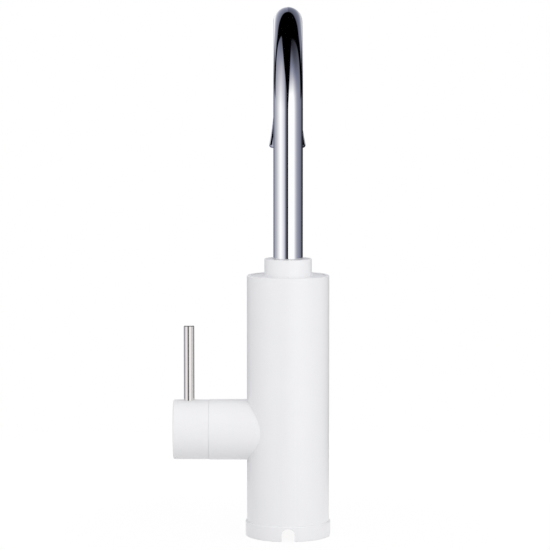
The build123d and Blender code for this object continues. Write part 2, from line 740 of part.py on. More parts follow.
# Thin nut that holds the fitting to the floor plate from below
with BuildPart() as inlet_nut:
    with BuildSketch(Plane.XY.offset(plate_bottom - LOCK_NUT_THICKNESS)):
        RegularPolygon(LOCK_NUT_ACROSS_FLATS / 2, 6, major_radius=False)
        Circle(inlet_radius + SEAT_GAP, mode=Mode.SUBTRACT)
    extrude(amount=LOCK_NUT_THICKNESS)

# Filter disc in the top of the socket
with BuildPart() as inlet_filter:
    with BuildSketch(Plane.XY.offset(thread_end)):
        Circle(FILTER_DIAMETER / 2 - SEAT_GAP)
        with HexLocations(FILTER_HOLE_PITCH / sqrt(3), FILTER_HOLE_ROWS, FILTER_HOLE_ROWS):
            Circle(FILTER_HOLE_DIAMETER / 2, mode=Mode.SUBTRACT)
    extrude(amount=FILTER_THICKNESS)

# O-rings of the three push-in water joints
spigot_rings = [
    spigot_ring(height) for height in (inlet_ring_height, flow_ring_height, tank_ring_height)
]

# Flow sensor body, which is also the riser from the fitting to the valve
with BuildPart() as flow_sensor_body:
    with BuildSketch(Plane.XZ):
        with BuildLine():
            Polyline(
                (spigot_socket, INLET_SHOULDER),
                (flow_radius, INLET_SHOULDER),
                (flow_radius, flow_body_top),
                (spigot_radius, flow_body_top),
                (spigot_radius, flow_spigot_top),
                (water_bore, flow_spigot_top),
                (water_bore, flow_shoulder),
                (spigot_socket, flow_shoulder),
                close=True,
            )
        make_face()
    revolve(axis=Axis.Z)
    add(ring_groove(spigot_ring_radius, O_RING_SECTION, flow_ring_height), mode=Mode.SUBTRACT)
    with BuildSketch(Plane.XY.offset(upper_spider)):
        Circle(SPIDER_HUB_DIAMETER / 2)
        with PolarLocations((water_bore + SEAT_GAP) / 2, SPIDER_ARMS):
            Rectangle(water_bore + SEAT_GAP, SPIDER_ARM_WIDTH)
        Circle(AXLE_DIAMETER / 2 + CLOSE_GAP, mode=Mode.SUBTRACT)
    extrude(amount=SPIDER_THICKNESS)

# Loose spider that carries the turbine's lower end
with BuildPart() as flow_spider:
    with BuildSketch(Plane.XY.offset(inlet_top)):
        Circle(spigot_radius)
        Circle(water_bore, mode=Mode.SUBTRACT)
        Circle(SPIDER_HUB_DIAMETER / 2)
        with PolarLocations((water_bore + SEAT_GAP) / 2, SPIDER_ARMS):
            Rectangle(water_bore + SEAT_GAP, SPIDER_ARM_WIDTH)
        Circle(AXLE_DIAMETER / 2 + CLOSE_GAP, mode=Mode.SUBTRACT)
    extrude(amount=SPIDER_THICKNESS)

with BuildPart(Plane.XY.offset(inlet_top)) as turbine_axle:
    Cylinder(
        AXLE_DIAMETER / 2, axle_top - inlet_top, align=(Align.CENTER, Align.CENTER, Align.MIN)
    )

# Turbine with twisted blades, and the ring magnet round its hub
blade_tip = water_bore - END_FLOAT
blade_height = TURBINE_LENGTH - TURBINE_MAGNET_LENGTH - END_FLOAT
with BuildPart() as flow_turbine:
    with BuildSketch(Plane.XY.offset(turbine_bottom)):
        Circle(TURBINE_HUB_DIAMETER / 2)
    extrude(amount=TURBINE_LENGTH)
    for blade in range(TURBINE_BLADES):
        turn = 360 / TURBINE_BLADES * blade
        blade_plane = Plane.XZ.rotated((0, 0, turn)).offset(-TURBINE_HUB_DIAMETER / 4)
        with BuildSketch(blade_plane):
            with Locations((0, turbine_bottom + blade_height / 2)):
                Rectangle(BLADE_THICKNESS, blade_height, rotation=BLADE_TILT)
        extrude(amount=-(blade_tip - TURBINE_HUB_DIAMETER / 4))
    with BuildSketch(Plane.XY.offset(turbine_bottom)):
        Circle(blade_tip)
    extrude(amount=TURBINE_LENGTH, mode=Mode.INTERSECT)
    with BuildSketch(Plane.XY.offset(turbine_bottom)):
        Circle(AXLE_DIAMETER / 2 + RUNNING_GAP)
    extrude(amount=TURBINE_LENGTH, mode=Mode.SUBTRACT)
turbine_magnet = washer(
    TURBINE_HUB_DIAMETER / 2 + TURBINE_MAGNET_WALL,
    TURBINE_HUB_DIAMETER / 2,
    turbine_top - TURBINE_MAGNET_LENGTH,
    turbine_top,
)

# Valve body: a manifold with flat sides, and a round part with a flange
lead_y = SENSOR_LEAD_RADIUS * cos(radians(SENSOR_ANGLE))
sensor_lead_bend = min(SENSOR_LEAD_BEND, board_face + lead_y - SENSOR_LEAD_DIAMETER)
lead_z = ARM_AXIS_HEIGHT + SENSOR_LEAD_RADIUS * sin(radians(SENSOR_ANGLE))
with BuildPart() as valve_body:
    with BuildSketch(arm_plane.offset(VALVE_BACK)):
        Circle(valve_radius)
        Rectangle(MANIFOLD_WIDTH, BODY_DIAMETER, mode=Mode.INTERSECT)
    extrude(amount=CHAMBER_FLOOR - VALVE_BACK)
    with BuildSketch(arm_plane.offset(CHAMBER_FLOOR)):
        Circle(valve_radius)
    extrude(amount=valve_end - CHAMBER_FLOOR)
    with BuildSketch(arm_plane.offset(arm_shoulder_x)):
        Circle(mouth_bore - SEAT_GAP)
    extrude(amount=VALVE_FLANGE_LENGTH)
    with BuildSketch(arm_plane.offset(CHAMBER_FLOOR)):
        Circle(chamber_radius)
    extrude(amount=valve_end - CHAMBER_FLOOR, mode=Mode.SUBTRACT)
    with BuildSketch(arm_plane):
        with Locations((0, PORT_OFFSET), (0, -PORT_OFFSET)):
            Circle(port_radius)
    extrude(amount=CHAMBER_FLOOR, mode=Mode.SUBTRACT)
    # Sockets for the riser below and the tank above
    with BuildSketch(Plane.XY.offset(lower_socket_floor)):
        Circle(spigot_socket)
    extrude(amount=-BODY_DIAMETER / 2, mode=Mode.SUBTRACT)
    with BuildSketch(Plane.XY.offset(upper_socket_floor)):
        Circle(spigot_socket)
    extrude(amount=BODY_DIAMETER / 2, mode=Mode.SUBTRACT)
    for floor, port in ((lower_socket_floor, lower_port), (upper_socket_floor, upper_port)):
        with BuildSketch(Plane.XY.offset(floor)):
            Circle(port_radius)
        extrude(amount=port - floor, mode=Mode.SUBTRACT)
    # Passage for the position sensor's lead
    with BuildSketch(arm_plane.offset(CHAMBER_FLOOR - LEAD_WINDOW_SIZE)):
        with Locations((lead_y, lead_z - ARM_AXIS_HEIGHT)):
            Circle(SENSOR_LEAD_DIAMETER / 2 + LEAD_HOLE_GAP)
    extrude(amount=valve_end, mode=Mode.SUBTRACT)
    with BuildSketch(Plane.XZ.offset(-lead_y - LEAD_WINDOW_SIZE / 2)):
        with Locations((sensor_lead_end + sensor_lead_bend / 2, lead_z)):
            Rectangle(sensor_lead_bend + LEAD_WINDOW_SIZE, LEAD_WINDOW_SIZE)
    extrude(amount=BODY_DIAMETER, mode=Mode.SUBTRACT)

# Cartridge: seal, two ceramic discs, housing and stem
with BuildPart() as cartridge_seal:
    with BuildSketch(arm_plane.offset(CHAMBER_FLOOR)):
        Circle(cartridge_radius)
        with Locations((0, PORT_OFFSET), (0, -PORT_OFFSET)):
            Circle(port_radius, mode=Mode.SUBTRACT)
    extrude(amount=SEAL_THICKNESS)

with BuildPart() as fixed_disc:
    with BuildSketch(arm_plane.offset(seal_end)):
        Circle(cartridge_bore - SEAT_GAP)
        with Locations((0, PORT_OFFSET), (0, -PORT_OFFSET)):
            Circle(port_radius, mode=Mode.SUBTRACT)
    extrude(amount=DISC_THICKNESS)

# The moving disc's slot joins the two ports when the handle is turned
with BuildPart() as moving_disc:
    with BuildSketch(arm_plane.offset(moving_disc_start)):
        Circle(turning_disc_radius)
    extrude(amount=DISC_THICKNESS)
    with BuildSketch(arm_plane.offset(moving_disc_start)):
        SlotOverall(2 * (PORT_OFFSET + port_radius), DISC_SLOT_WIDTH)
    extrude(amount=DISC_SLOT_DEPTH, mode=Mode.SUBTRACT)
    with BuildSketch(arm_plane.offset(moving_disc_end)):
        with Locations((0, LUG_RADIUS), (0, -LUG_RADIUS)):
            Circle(LUG_DIAMETER / 2 + SEAT_GAP)
    extrude(amount=-LUG_LENGTH - SEAT_GAP, mode=Mode.SUBTRACT)

cartridge_housing = turned_on_arm(
    [
        (seal_end, cartridge_bore),
        (seal_end, cartridge_radius),
        (cartridge_end, cartridge_radius),
        (cartridge_end, neck_hole),
        (cartridge_ceiling, neck_hole),
        (cartridge_ceiling, cartridge_bore),
    ]
)

stem_ring_x = cartridge_end - CARTRIDGE_END_WALL / 2
stem_groove_radius = STEM_NECK_DIAMETER / 2 - O_RING_SECTION + RUNNING_GAP / 2
with BuildPart() as cartridge_stem:
    with BuildSketch(arm_plane.offset(moving_disc_end)):
        Circle(turning_disc_radius)
    extrude(amount=driver_end - moving_disc_end)
    with BuildSketch(arm_plane.offset(driver_end)):
        Circle(STEM_NECK_DIAMETER / 2)
    extrude(amount=valve_end - driver_end)
    with BuildSketch(arm_plane.offset(valve_end)):
        Circle(STEM_DIAMETER / 2)
    extrude(amount=stem_tip - valve_end)
    with BuildSketch(arm_plane.offset(moving_disc_end)):
        with Locations((0, LUG_RADIUS), (0, -LUG_RADIUS)):
            Circle(LUG_DIAMETER / 2)
    extrude(amount=-LUG_LENGTH)
    with BuildSketch(arm_plane.offset(hub_start)):
        with Locations((0, -STEM_DIAMETER)):
            Rectangle(STEM_DIAMETER, STEM_DIAMETER + 2 * STEM_FLAT_DEPTH)
    extrude(amount=stem_tip - hub_start, mode=Mode.SUBTRACT)
    add(
        turned_on_arm(
            [
                (stem_ring_x - O_RING_SECTION / 2 - SEAT_GAP, stem_groove_radius),
                (stem_ring_x - O_RING_SECTION / 2 - SEAT_GAP, STEM_NECK_DIAMETER),
                (stem_ring_x + O_RING_SECTION / 2 + SEAT_GAP, STEM_NECK_DIAMETER),
                (stem_ring_x + O_RING_SECTION / 2 + SEAT_GAP, stem_groove_radius),
            ]
        ),
        mode=Mode.SUBTRACT,
    )

with BuildPart() as stem_seal:
    with BuildSketch(half_plane):
        with Locations((stem_ring_x, stem_groove_radius + O_RING_SECTION / 2)):
            Circle(O_RING_SECTION / 2)
    revolve(axis=arm_axis)

# Ring nut that holds the cartridge in the chamber, with two spanner slots
with BuildPart() as cartridge_nut:
    with BuildSketch(arm_plane.offset(cartridge_end)):
        Circle(cartridge_radius)
        Circle(NUT_BORE_DIAMETER / 2, mode=Mode.SUBTRACT)
    extrude(amount=valve_end - cartridge_end)
    with BuildSketch(arm_plane.offset(valve_end)):
        Rectangle(2 * CHAMBER_DIAMETER, NUT_SLOT_WIDTH)
        Circle(NUT_BORE_DIAMETER / 2 + NUT_SLOT_INSET, mode=Mode.SUBTRACT)
    extrude(amount=-NUT_SLOT_DEPTH, mode=Mode.SUBTRACT)

# Lock ring, screwed into the arm's mouth against the valve's flange. It
# reaches into the knob, so that the seam stays closed.
valve_lock_ring = turned_on_arm(
    [
        (valve_end, ring_bore),
        (valve_end, ring_radius),
        (ring_end, ring_radius),
        (ring_end, guide_radius),
        (guide_end, guide_radius),
        (guide_end, guide_radius - GUIDE_WALL),
        (ring_end, guide_radius - GUIDE_WALL),
        (ring_end, RING_WEB_BORE / 2),
        (ring_web_start, RING_WEB_BORE / 2),
        (ring_web_start, ring_bore),
    ]
)

# Position sensor: a small board with its chip, opposite the knob's magnet
with BuildPart() as handle_sensor:
    with BuildSketch(arm_plane.offset(ring_web_start)):
        with PolarLocations(SENSOR_BOARD_RADIUS, 1, start_angle=SENSOR_ANGLE):
            Rectangle(SENSOR_BOARD_LENGTH, SENSOR_BOARD_WIDTH)
    extrude(amount=-BOARD_THICKNESS)
    with BuildSketch(arm_plane.offset(ring_web_start - BOARD_THICKNESS)):
        with PolarLocations(SENSOR_CHIP_RADIUS, 1, start_angle=SENSOR_ANGLE):
            Rectangle(SENSOR_CHIP_SIZE, SENSOR_CHIP_SIZE)
    extrude(amount=-SENSOR_CHIP_HEIGHT)
sensor_lead_route = (
    (ring_web_start - BOARD_THICKNESS, lead_y, lead_z),
    (sensor_lead_end, lead_y, lead_z),
    (sensor_lead_end, -board_face, lead_z),
)
handle_sensor_lead = lead(sensor_lead_route, SENSOR_LEAD_DIAMETER, sensor_lead_bend)

# Knob: a cup with a ribbed hub for the stem and a boss for the lever
with BuildPart() as handle_knob:
    with BuildSketch(arm_plane.offset(knob_start)):
        Circle(knob_radius)
    extrude(amount=KNOB_LENGTH)
    fillet(handle_knob.faces().sort_by(Axis.X)[-1].edges(), KNOB_FILLET)
    chamfer(handle_knob.faces().sort_by(Axis.X)[0].edges(), SEAM_CHAMFER)
    with BuildSketch(arm_plane.offset(knob_start)):
        Circle(knob_bore)
    extrude(amount=knob_floor - knob_start, mode=Mode.SUBTRACT)
    with BuildSketch(arm_plane.offset(hub_start)):
        Circle(HUB_DIAMETER / 2)
        with PolarLocations(0, len(RIB_ANGLES), start_angle=RIB_ANGLES[0], angular_range=180):
            with Locations((knob_bore / 2, 0)):
                Rectangle(knob_bore + KNOB_WALL / 2, WEB_THICKNESS)
    extrude(amount=HUB_LENGTH)
    with BuildSketch(arm_plane.offset(magnet_start)):
        with PolarLocations(MAGNET_RADIUS, 1, start_angle=SENSOR_ANGLE):
            Circle(MAGNET_DIAMETER / 2 + MAGNET_BOSS_WALL)
    extrude(amount=knob_floor - magnet_start)
    with BuildSketch(Plane.XY.offset(ARM_AXIS_HEIGHT)):
        with Locations((lever_x, 0)):
            Circle(LEVER_BOSS_DIAMETER / 2)
    extrude(amount=knob_bore + JOIN_OVERLAP)
    with BuildSketch(arm_plane.offset(hub_start)):
        Circle(hub_bore)
    extrude(amount=HUB_BORE_DEPTH, mode=Mode.SUBTRACT)
    with BuildSketch(arm_plane.offset(magnet_start)):
        with PolarLocations(MAGNET_RADIUS, 1, start_angle=SENSOR_ANGLE):
            Circle(MAGNET_DIAMETER / 2)
    extrude(amount=MAGNET_LENGTH, mode=Mode.SUBTRACT)
    # Lever's seat and stud hole from above, grub screw's hole from below
    for height, radius in (
        (lever_seat, LEVER_DIAMETER / 2 + CLOSE_GAP),
        (lever_seat - LEVER_STUD_LENGTH - SEAT_GAP, LEVER_STUD_DIAMETER / 2 + SEAT_GAP),
    ):
        with BuildSketch(Plane.XY.offset(height)):
            with Locations((lever_x, 0)):
                Circle(radius)
        extrude(amount=KNOB_DIAMETER, mode=Mode.SUBTRACT)
    with BuildSketch(Plane.XY.offset(ARM_AXIS_HEIGHT)):
        with Locations((lever_x, 0)):
            Circle(GRUB_DIAMETER / 2 + CLOSE_GAP)
    extrude(amount=-HUB_DIAMETER / 2 - CUT_OVERRUN, mode=Mode.SUBTRACT)
    with BuildSketch(Plane.XY.offset(ARM_AXIS_HEIGHT - HUB_DIAMETER / 2)):
        with Locations((lever_x, 0)):
            Circle(GRUB_ACCESS_DIAMETER / 2)
    extrude(amount=-KNOB_DIAMETER, mode=Mode.SUBTRACT)

with BuildPart() as position_magnet:
    with BuildSketch(arm_plane.offset(magnet_start)):
        with PolarLocations(MAGNET_RADIUS, 1, start_angle=SENSOR_ANGLE):
            Circle(MAGNET_DIAMETER / 2)
    extrude(amount=MAGNET_LENGTH)

grub_top = ARM_AXIS_HEIGHT - STEM_DIAMETER / 2 + STEM_FLAT_DEPTH
with BuildPart() as knob_grub_screw:
    with BuildSketch(Plane.XY.offset(ARM_AXIS_HEIGHT - HUB_DIAMETER / 2)):
        with Locations((lever_x, 0)):
            Circle(GRUB_DIAMETER / 2)
    extrude(amount=grub_top - ARM_AXIS_HEIGHT + HUB_DIAMETER / 2)
    with BuildSketch(Plane.XY.offset(ARM_AXIS_HEIGHT - HUB_DIAMETER / 2)):
        with Locations((lever_x, 0)):
            RegularPolygon(GRUB_KEY_WIDTH / 2, 6, major_radius=False)
    extrude(amount=GRUB_KEY_DEPTH, mode=Mode.SUBTRACT)

with BuildPart() as lever_pin:
    with BuildSketch(Plane.XY.offset(lever_seat)):
        with Locations((lever_x, 0)):
            Circle(LEVER_DIAMETER / 2)
    extrude(amount=lever_top - lever_seat)
    chamfer(lever_pin.edges().sort_by(Axis.Z)[-1], LEVER_CHAMFER)
    with BuildSketch(Plane.XY.offset(lever_seat)):
        with Locations((lever_x, 0)):
            Circle(LEVER_STUD_DIAMETER / 2)
    extrude(amount=-LEVER_STUD_LENGTH)

# Cap that closes the top of the shell, and the collar that clamps it
top_cap = washer(shell_bore - SEAT_GAP, neck_radius + SEAT_GAP, cap_bottom, cap_top)
with BuildPart() as collar_nut:
    with BuildSketch(Plane.XZ):
        with BuildLine():
            Polyline(
                (neck_radius + SEAT_GAP, cap_top),
                (COLLAR_DIAMETER / 2, cap_top),
                (COLLAR_DIAMETER / 2, collar_top),
                (tube_radius + COLLAR_GAP, collar_top),
                (tube_radius + COLLAR_GAP, bush_top),
                (neck_radius + SEAT_GAP, bush_top),
                close=True,
            )
        make_face()
    revolve(axis=Axis.Z)
    fillet(collar_nut.faces().sort_by(Axis.Z)[-1].edges().sort_by(SortBy.RADIUS)[-1], COLLAR_FILLET)

# Split bush that the spout turns in
bush_bottom = tube_bottom + END_FLOAT
with BuildPart() as swivel_bush:
    with BuildSketch(Plane.XY.offset(bush_bottom)):
        Circle(bush_radius)
        Circle(bush_bore, mode=Mode.SUBTRACT)
        with Locations((0, bush_radius)):
            Rectangle(BUSH_SLIT, bush_radius, mode=Mode.SUBTRACT)
    extrude(amount=bush_top - bush_bottom)


def tank_flange(bottom, thickness):
    """The tank's flange, cut straight at the front to clear the board."""
    with BuildPart() as flange:
        with BuildSketch(Plane.XY.offset(bottom)):
            Circle(tank_flange_radius)
            with Locations((0, -tank_flange_front - BODY_DIAMETER / 2)):
                Rectangle(BODY_DIAMETER, BODY_DIAMETER, mode=Mode.SUBTRACT)
            Circle(tank_radius)
        extrude(amount=thickness)
    return flange.part


tank_screw_spots = [
    (tank_screw_radius * cos(radians(angle)), tank_screw_radius * sin(radians(angle)))
    for angle in TANK_SCREW_ANGLES
]

# Tank: a can with its closed top, the neck that takes the spout and, inside,
# the socket that the spout's foot turns in
with BuildPart() as tank_can:
    add(tank_flange(tank_base_top, TANK_FLANGE_THICKNESS))
    with BuildSketch(Plane.XY.offset(tank_base_top)):
        Circle(tank_radius)
    extrude(amount=tank_top - tank_base_top)
    with BuildSketch(Plane.XY.offset(tank_top)):
        Circle(neck_radius)
    extrude(amount=neck_top - tank_top)
    with BuildSketch(Plane.XY.offset(tank_base_top)):
        Circle(tank_bore)
    extrude(amount=tank_ceiling - tank_base_top, mode=Mode.SUBTRACT)
    with BuildSketch(Plane.XY.offset(socket_bottom)):
        Circle(socket_bore + SOCKET_WALL)
    extrude(amount=tank_ceiling - socket_bottom)
    with BuildSketch(Plane.XY.offset(socket_bottom)):
        Circle(socket_bore)
    extrude(amount=neck_top - socket_bottom, mode=Mode.SUBTRACT)
    with BuildSketch(Plane.XY.offset(neck_floor)):
        Circle(neck_bore)
    extrude(amount=neck_top - neck_floor, mode=Mode.SUBTRACT)
    with BuildSketch(Plane.XY.offset(tank_base_top)):
        with Locations(*tank_screw_spots):
            Circle(SCREW_DIAMETER / 2 + SEAT_GAP)
    extrude(amount=TANK_FLANGE_THICKNESS, mode=Mode.SUBTRACT)

element_spots = [(side * ELEMENT_SPACING / 2, -ELEMENT_SETBACK) for side in (-1, 1)]
element_hole = ELEMENT_DIAMETER / 2 + SEAT_GAP
with BuildPart() as tank_base:
    add(tank_flange(tank_base_bottom, TANK_BASE_THICKNESS))
    with BuildSketch(Plane.XY.offset(tank_base_top)):
        Circle(tank_bore - SEAT_GAP)
    extrude(amount=TANK_PLUG_HEIGHT)
    with BuildSketch(Plane.XY.offset(tank_spigot_bottom)):
        Circle(spigot_radius)
    extrude(amount=tank_base_bottom - tank_spigot_bottom)
    with BuildSketch(Plane.XY.offset(tank_spigot_bottom)):
        Circle(TANK_INLET_DIAMETER / 2)
    extrude(amount=tank_plug_top - tank_spigot_bottom, mode=Mode.SUBTRACT)
    with BuildSketch(Plane.XY.offset(tank_base_bottom)):
        with Locations(*element_spots):
            Circle(element_hole)
        with Locations(PROBE_PLACE):
            Circle(PROBE_DIAMETER / 2 + SEAT_GAP)
    extrude(amount=tank_plug_top - tank_base_bottom, mode=Mode.SUBTRACT)
    with BuildSketch(Plane.XY.offset(tank_base_bottom)):
        with Locations(*tank_screw_spots):
            Circle(SCREW_DIAMETER / 2 + SEAT_GAP)
    extrude(amount=TANK_BASE_THICKNESS, mode=Mode.SUBTRACT)
    add(ring_groove(spigot_ring_radius, O_RING_SECTION, tank_ring_height), mode=Mode.SUBTRACT)
    tank_seal_height = tank_base_top + TANK_PLUG_HEIGHT / 2
    add(
        ring_groove(tank_bore - CLOSE_GAP, TANK_SEAL_SECTION, tank_seal_height),
        mode=Mode.SUBTRACT,
    )
tank_seal = seal_ring(
    tank_bore - CLOSE_GAP - TANK_SEAL_SECTION, TANK_SEAL_SECTION, tank_seal_height
)
tank_screws = [screw((x, y, tank_base_bottom), TANK_SCREW_LENGTH) for x, y in tank_screw_spots]

# Heating element: a hairpin that stands in the tank
element_bend = ELEMENT_SPACING / 2
element_bend_height = element_top - ELEMENT_DIAMETER / 2 - element_bend
element_bottom = tank_base_bottom - ELEMENT_NUT_THICKNESS
with BuildPart() as heating_element:
    with BuildLine() as hairpin:
        up = Line(
            (-element_bend, -ELEMENT_SETBACK, element_bottom),
            (-element_bend, -ELEMENT_SETBACK, element_bend_height),
        )
        over = ThreePointArc(
            up @ 1,
            (0, -ELEMENT_SETBACK, element_bend_height + element_bend),
            (element_bend, -ELEMENT_SETBACK, element_bend_height),
        )
        Line(over @ 1, (element_bend, -ELEMENT_SETBACK, element_bottom))
    with BuildSketch(Plane(origin=up @ 0, z_dir=up % 0)):
        Circle(ELEMENT_DIAMETER / 2)
    sweep(path=hairpin.wire())
    with BuildSketch(Plane.XY.offset(element_bottom)):
        with Locations(*element_spots):
            Circle(STUD_DIAMETER / 2)
    extrude(amount=ELEMENT_NUT_THICKNESS - STUD_LENGTH)

element_nuts = []
for x, y in element_spots:
    with BuildPart(Plane((x, y, element_bottom))) as element_nut:
        with BuildSketch(Plane((x, y, element_bottom))):
            RegularPolygon(ELEMENT_NUT_ACROSS_FLATS / 2, 6, major_radius=False)
            Circle(element_hole, mode=Mode.SUBTRACT)
        extrude(amount=ELEMENT_NUT_THICKNESS)
    element_nuts.append(element_nut.part)

# Thermal cut-out against the tank's base, with a tab on each side
cutout_bottom = tank_base_bottom - CUTOUT_HEIGHT
tab_bottom = cutout_bottom + CUTOUT_TAB_THICKNESS
with BuildPart() as thermal_cutout:
    with BuildSketch(Plane.XY.offset(cutout_bottom)):
        with Locations((0, CUTOUT_SETBACK)):
            Circle(CUTOUT_DIAMETER / 2)
    extrude(amount=CUTOUT_HEIGHT)
    fillet(thermal_cutout.faces().sort_by(Axis.Z)[0].edges(), CUTOUT_TAB_THICKNESS / 2)
    with BuildSketch(Plane.XY.offset(tab_bottom)):
        with Locations((0, CUTOUT_SETBACK)):
            Rectangle(CUTOUT_TAB_SPAN, CUTOUT_TAB_WIDTH)
    extrude(amount=CUTOUT_TAB_THICKNESS)

# Temperature probe through the tank's base
probe_x, probe_y = PROBE_PLACE
probe_bottom = tank_base_bottom - PROBE_HEAD_HEIGHT
with BuildPart() as temperature_probe:
    with BuildSketch(Plane.XY.offset(probe_bottom)):
        with Locations(PROBE_PLACE):
            Circle(PROBE_HEAD_DIAMETER / 2)
    extrude(amount=PROBE_HEAD_HEIGHT)
    with BuildSketch(Plane.XY.offset(tank_base_bottom)):
        with Locations(PROBE_PLACE):
            Circle(PROBE_DIAMETER / 2)
    extrude(amount=PROBE_DEPTH)
    fillet(temperature_probe.edges().sort_by(Axis.Z)[-1], PROBE_TIP_RADIUS)

# Leads inside the body, all straight from the board's inner face
cutout_lead_z = tab_bottom + CUTOUT_TAB_THICKNESS / 2
stud_lead_z = element_bottom - (STUD_LENGTH - ELEMENT_NUT_THICKNESS) / 2
heater_leads = []
for side in (-1, 1):
    cutout_lead_x = side * CUTOUT_LEAD_SPACING / 2
    tab_edge = CUTOUT_SETBACK - CUTOUT_TAB_WIDTH / 2
    heater_leads.append(
        lead(
            ((cutout_lead_x, tab_edge, cutout_lead_z), (cutout_lead_x, -board_face, cutout_lead_z)),
            HEATER_LEAD_DIAMETER,
        )
    )
    stud_x = side * ELEMENT_SPACING / 2
    stud_edge = -ELEMENT_SETBACK - STUD_DIAMETER / 2
    heater_leads.append(
        lead(
            ((stud_x, stud_edge, stud_lead_z), (stud_x, -board_face, stud_lead_z)),
            HEATER_LEAD_DIAMETER,
        )
    )
probe_lead_z = probe_bottom + PROBE_HEAD_HEIGHT / 2
probe_lead = lead(
    (
        (probe_x, probe_y - PROBE_HEAD_DIAMETER / 2, probe_lead_z),
        (probe_x, -board_face, probe_lead_z),
    ),
    PROBE_LEAD_DIAMETER,
)

# Control board and what is on it
with BuildPart() as control_board:
    with BuildSketch(Plane.XZ.offset(board_face)):
        with Locations((0, (BOARD_BOTTOM + board_top) / 2)):
            Rectangle(BOARD_WIDTH, board_top - BOARD_BOTTOM)
    extrude(amount=BOARD_THICKNESS)

terminal_width, terminal_depth, terminal_height = TERMINAL_SIZE
with BuildPart() as terminal_block:
    add(
        block(
            terminal_width,
            terminal_depth,
            terminal_height,
            (0, -board_outer - terminal_depth / 2, terminal_bottom),
        )
    )
    with BuildSketch(Plane.XY.offset(terminal_bottom)):
        with Locations((0, -board_outer - terminal_depth / 2)):
            with GridLocations(terminal_width / TERMINAL_WAYS, 0, TERMINAL_WAYS, 1):
                Circle(TERMINAL_HOLE_DIAMETER / 2)
    extrude(amount=TERMINAL_HOLE_DEPTH, mode=Mode.SUBTRACT)

with BuildPart() as power_relay:
    add(block(*RELAY_SIZE, (0, -board_outer - RELAY_SIZE[1] / 2, relay_bottom)))
    fillet(power_relay.faces().sort_by(Axis.Y)[0].edges(), RELAY_FILLET)
lamp_header = block(*HEADER_SIZE, (0, -board_outer - HEADER_SIZE[1] / 2, header_bottom))
magnet_height = turbine_top - TURBINE_MAGNET_LENGTH / 2
flow_pickup = block(
    PICKUP_SIZE,
    board_face - flow_radius - SEAT_GAP,
    PICKUP_SIZE,
    (0, -(board_face + flow_radius + SEAT_GAP) / 2, magnet_height - PICKUP_SIZE / 2),
)

# Indicator lens, flush with the shell, its lamp and the lamp's board
with BuildPart() as indicator_lens:
    with BuildSketch(Plane.XZ.offset(body_radius - LENS_DEPTH)):
        with Locations((0, lamp_height)):
            Circle(LENS_DIAMETER / 2)
    extrude(amount=LENS_DEPTH + CUT_OVERRUN)
    with BuildSketch(Plane.XY.offset(lamp_height - LENS_DIAMETER)):
        Circle(body_radius)
    extrude(amount=2 * LENS_DIAMETER, mode=Mode.INTERSECT)
with BuildPart() as indicator_lamp:
    with BuildSketch(Plane.XZ.offset(lamp_board_face)):
        with Locations((0, lamp_height)):
            Circle(LAMP_DIAMETER / 2)
    extrude(amount=body_radius - LENS_DEPTH - SEAT_GAP - lamp_board_face)
    fillet(indicator_lamp.faces().sort_by(Axis.Y)[0].edges(), LAMP_DOME_RADIUS)
with BuildPart() as indicator_board:
    with BuildSketch(Plane.XZ.offset(lamp_board_face - LAMP_BOARD_THICKNESS)):
        with Locations((0, lamp_height)):
            RectangleRounded(LAMP_BOARD_SIZE, LAMP_BOARD_SIZE, LAMP_BOARD_THICKNESS)
    extrude(amount=LAMP_BOARD_THICKNESS)
indicator_lead = lead(
    (
        (0, lamp_lead_y, header_bottom + HEADER_SIZE[2]),
        (0, lamp_lead_y, lamp_height - LAMP_BOARD_SIZE / 2),
    ),
    LAMP_LEAD_DIAMETER,
)

# Spout: tube, foot, O-rings, nozzle and aerator
with BuildPart() as spout_tube:
    with BuildLine() as spout_path:
        riser = Line((0, 0, tube_bottom), (0, 0, bend_height))
        bend = ThreePointArc(
            riser @ 1,
            (0, -BEND_RADIUS, bend_height + BEND_RADIUS),
            (0, outlet_y, bend_height),
        )
        Line(bend @ 1, (0, outlet_y, nozzle_top))
    with BuildSketch(Plane.XY.offset(tube_bottom)):
        Circle(tube_radius)
        Circle(tube_bore, mode=Mode.SUBTRACT)
    sweep(path=spout_path.wire())

foot_ring_heights = [
    (socket_bottom + neck_floor) / 2 + side * SPOUT_RING_SPACING / 2 for side in (-1, 1)
]
foot_ring_inner = socket_bore - CLOSE_GAP - SPOUT_RING_SECTION
with BuildPart() as spout_foot:
    with BuildSketch(Plane.XZ):
        with BuildLine():
            Polyline(
                (ferrule_bore, socket_bottom),
                (ferrule_radius, socket_bottom),
                (ferrule_radius, ferrule_flange_bottom),
                (tube_radius + FERRULE_FLANGE_WIDTH, ferrule_flange_bottom),
                (tube_radius + FERRULE_FLANGE_WIDTH, tube_bottom),
                (tube_bore - SEAT_GAP, tube_bottom),
                (tube_bore - SEAT_GAP, tube_bottom + FERRULE_SPIGOT),
                (ferrule_bore, tube_bottom + FERRULE_SPIGOT),
                close=True,
            )
        make_face()
    revolve(axis=Axis.Z)
    for height in foot_ring_heights:
        add(
            ring_groove(socket_bore - CLOSE_GAP, SPOUT_RING_SECTION, height),
            mode=Mode.SUBTRACT,
        )
spout_rings = [
    seal_ring(foot_ring_inner, SPOUT_RING_SECTION, height) for height in foot_ring_heights
]

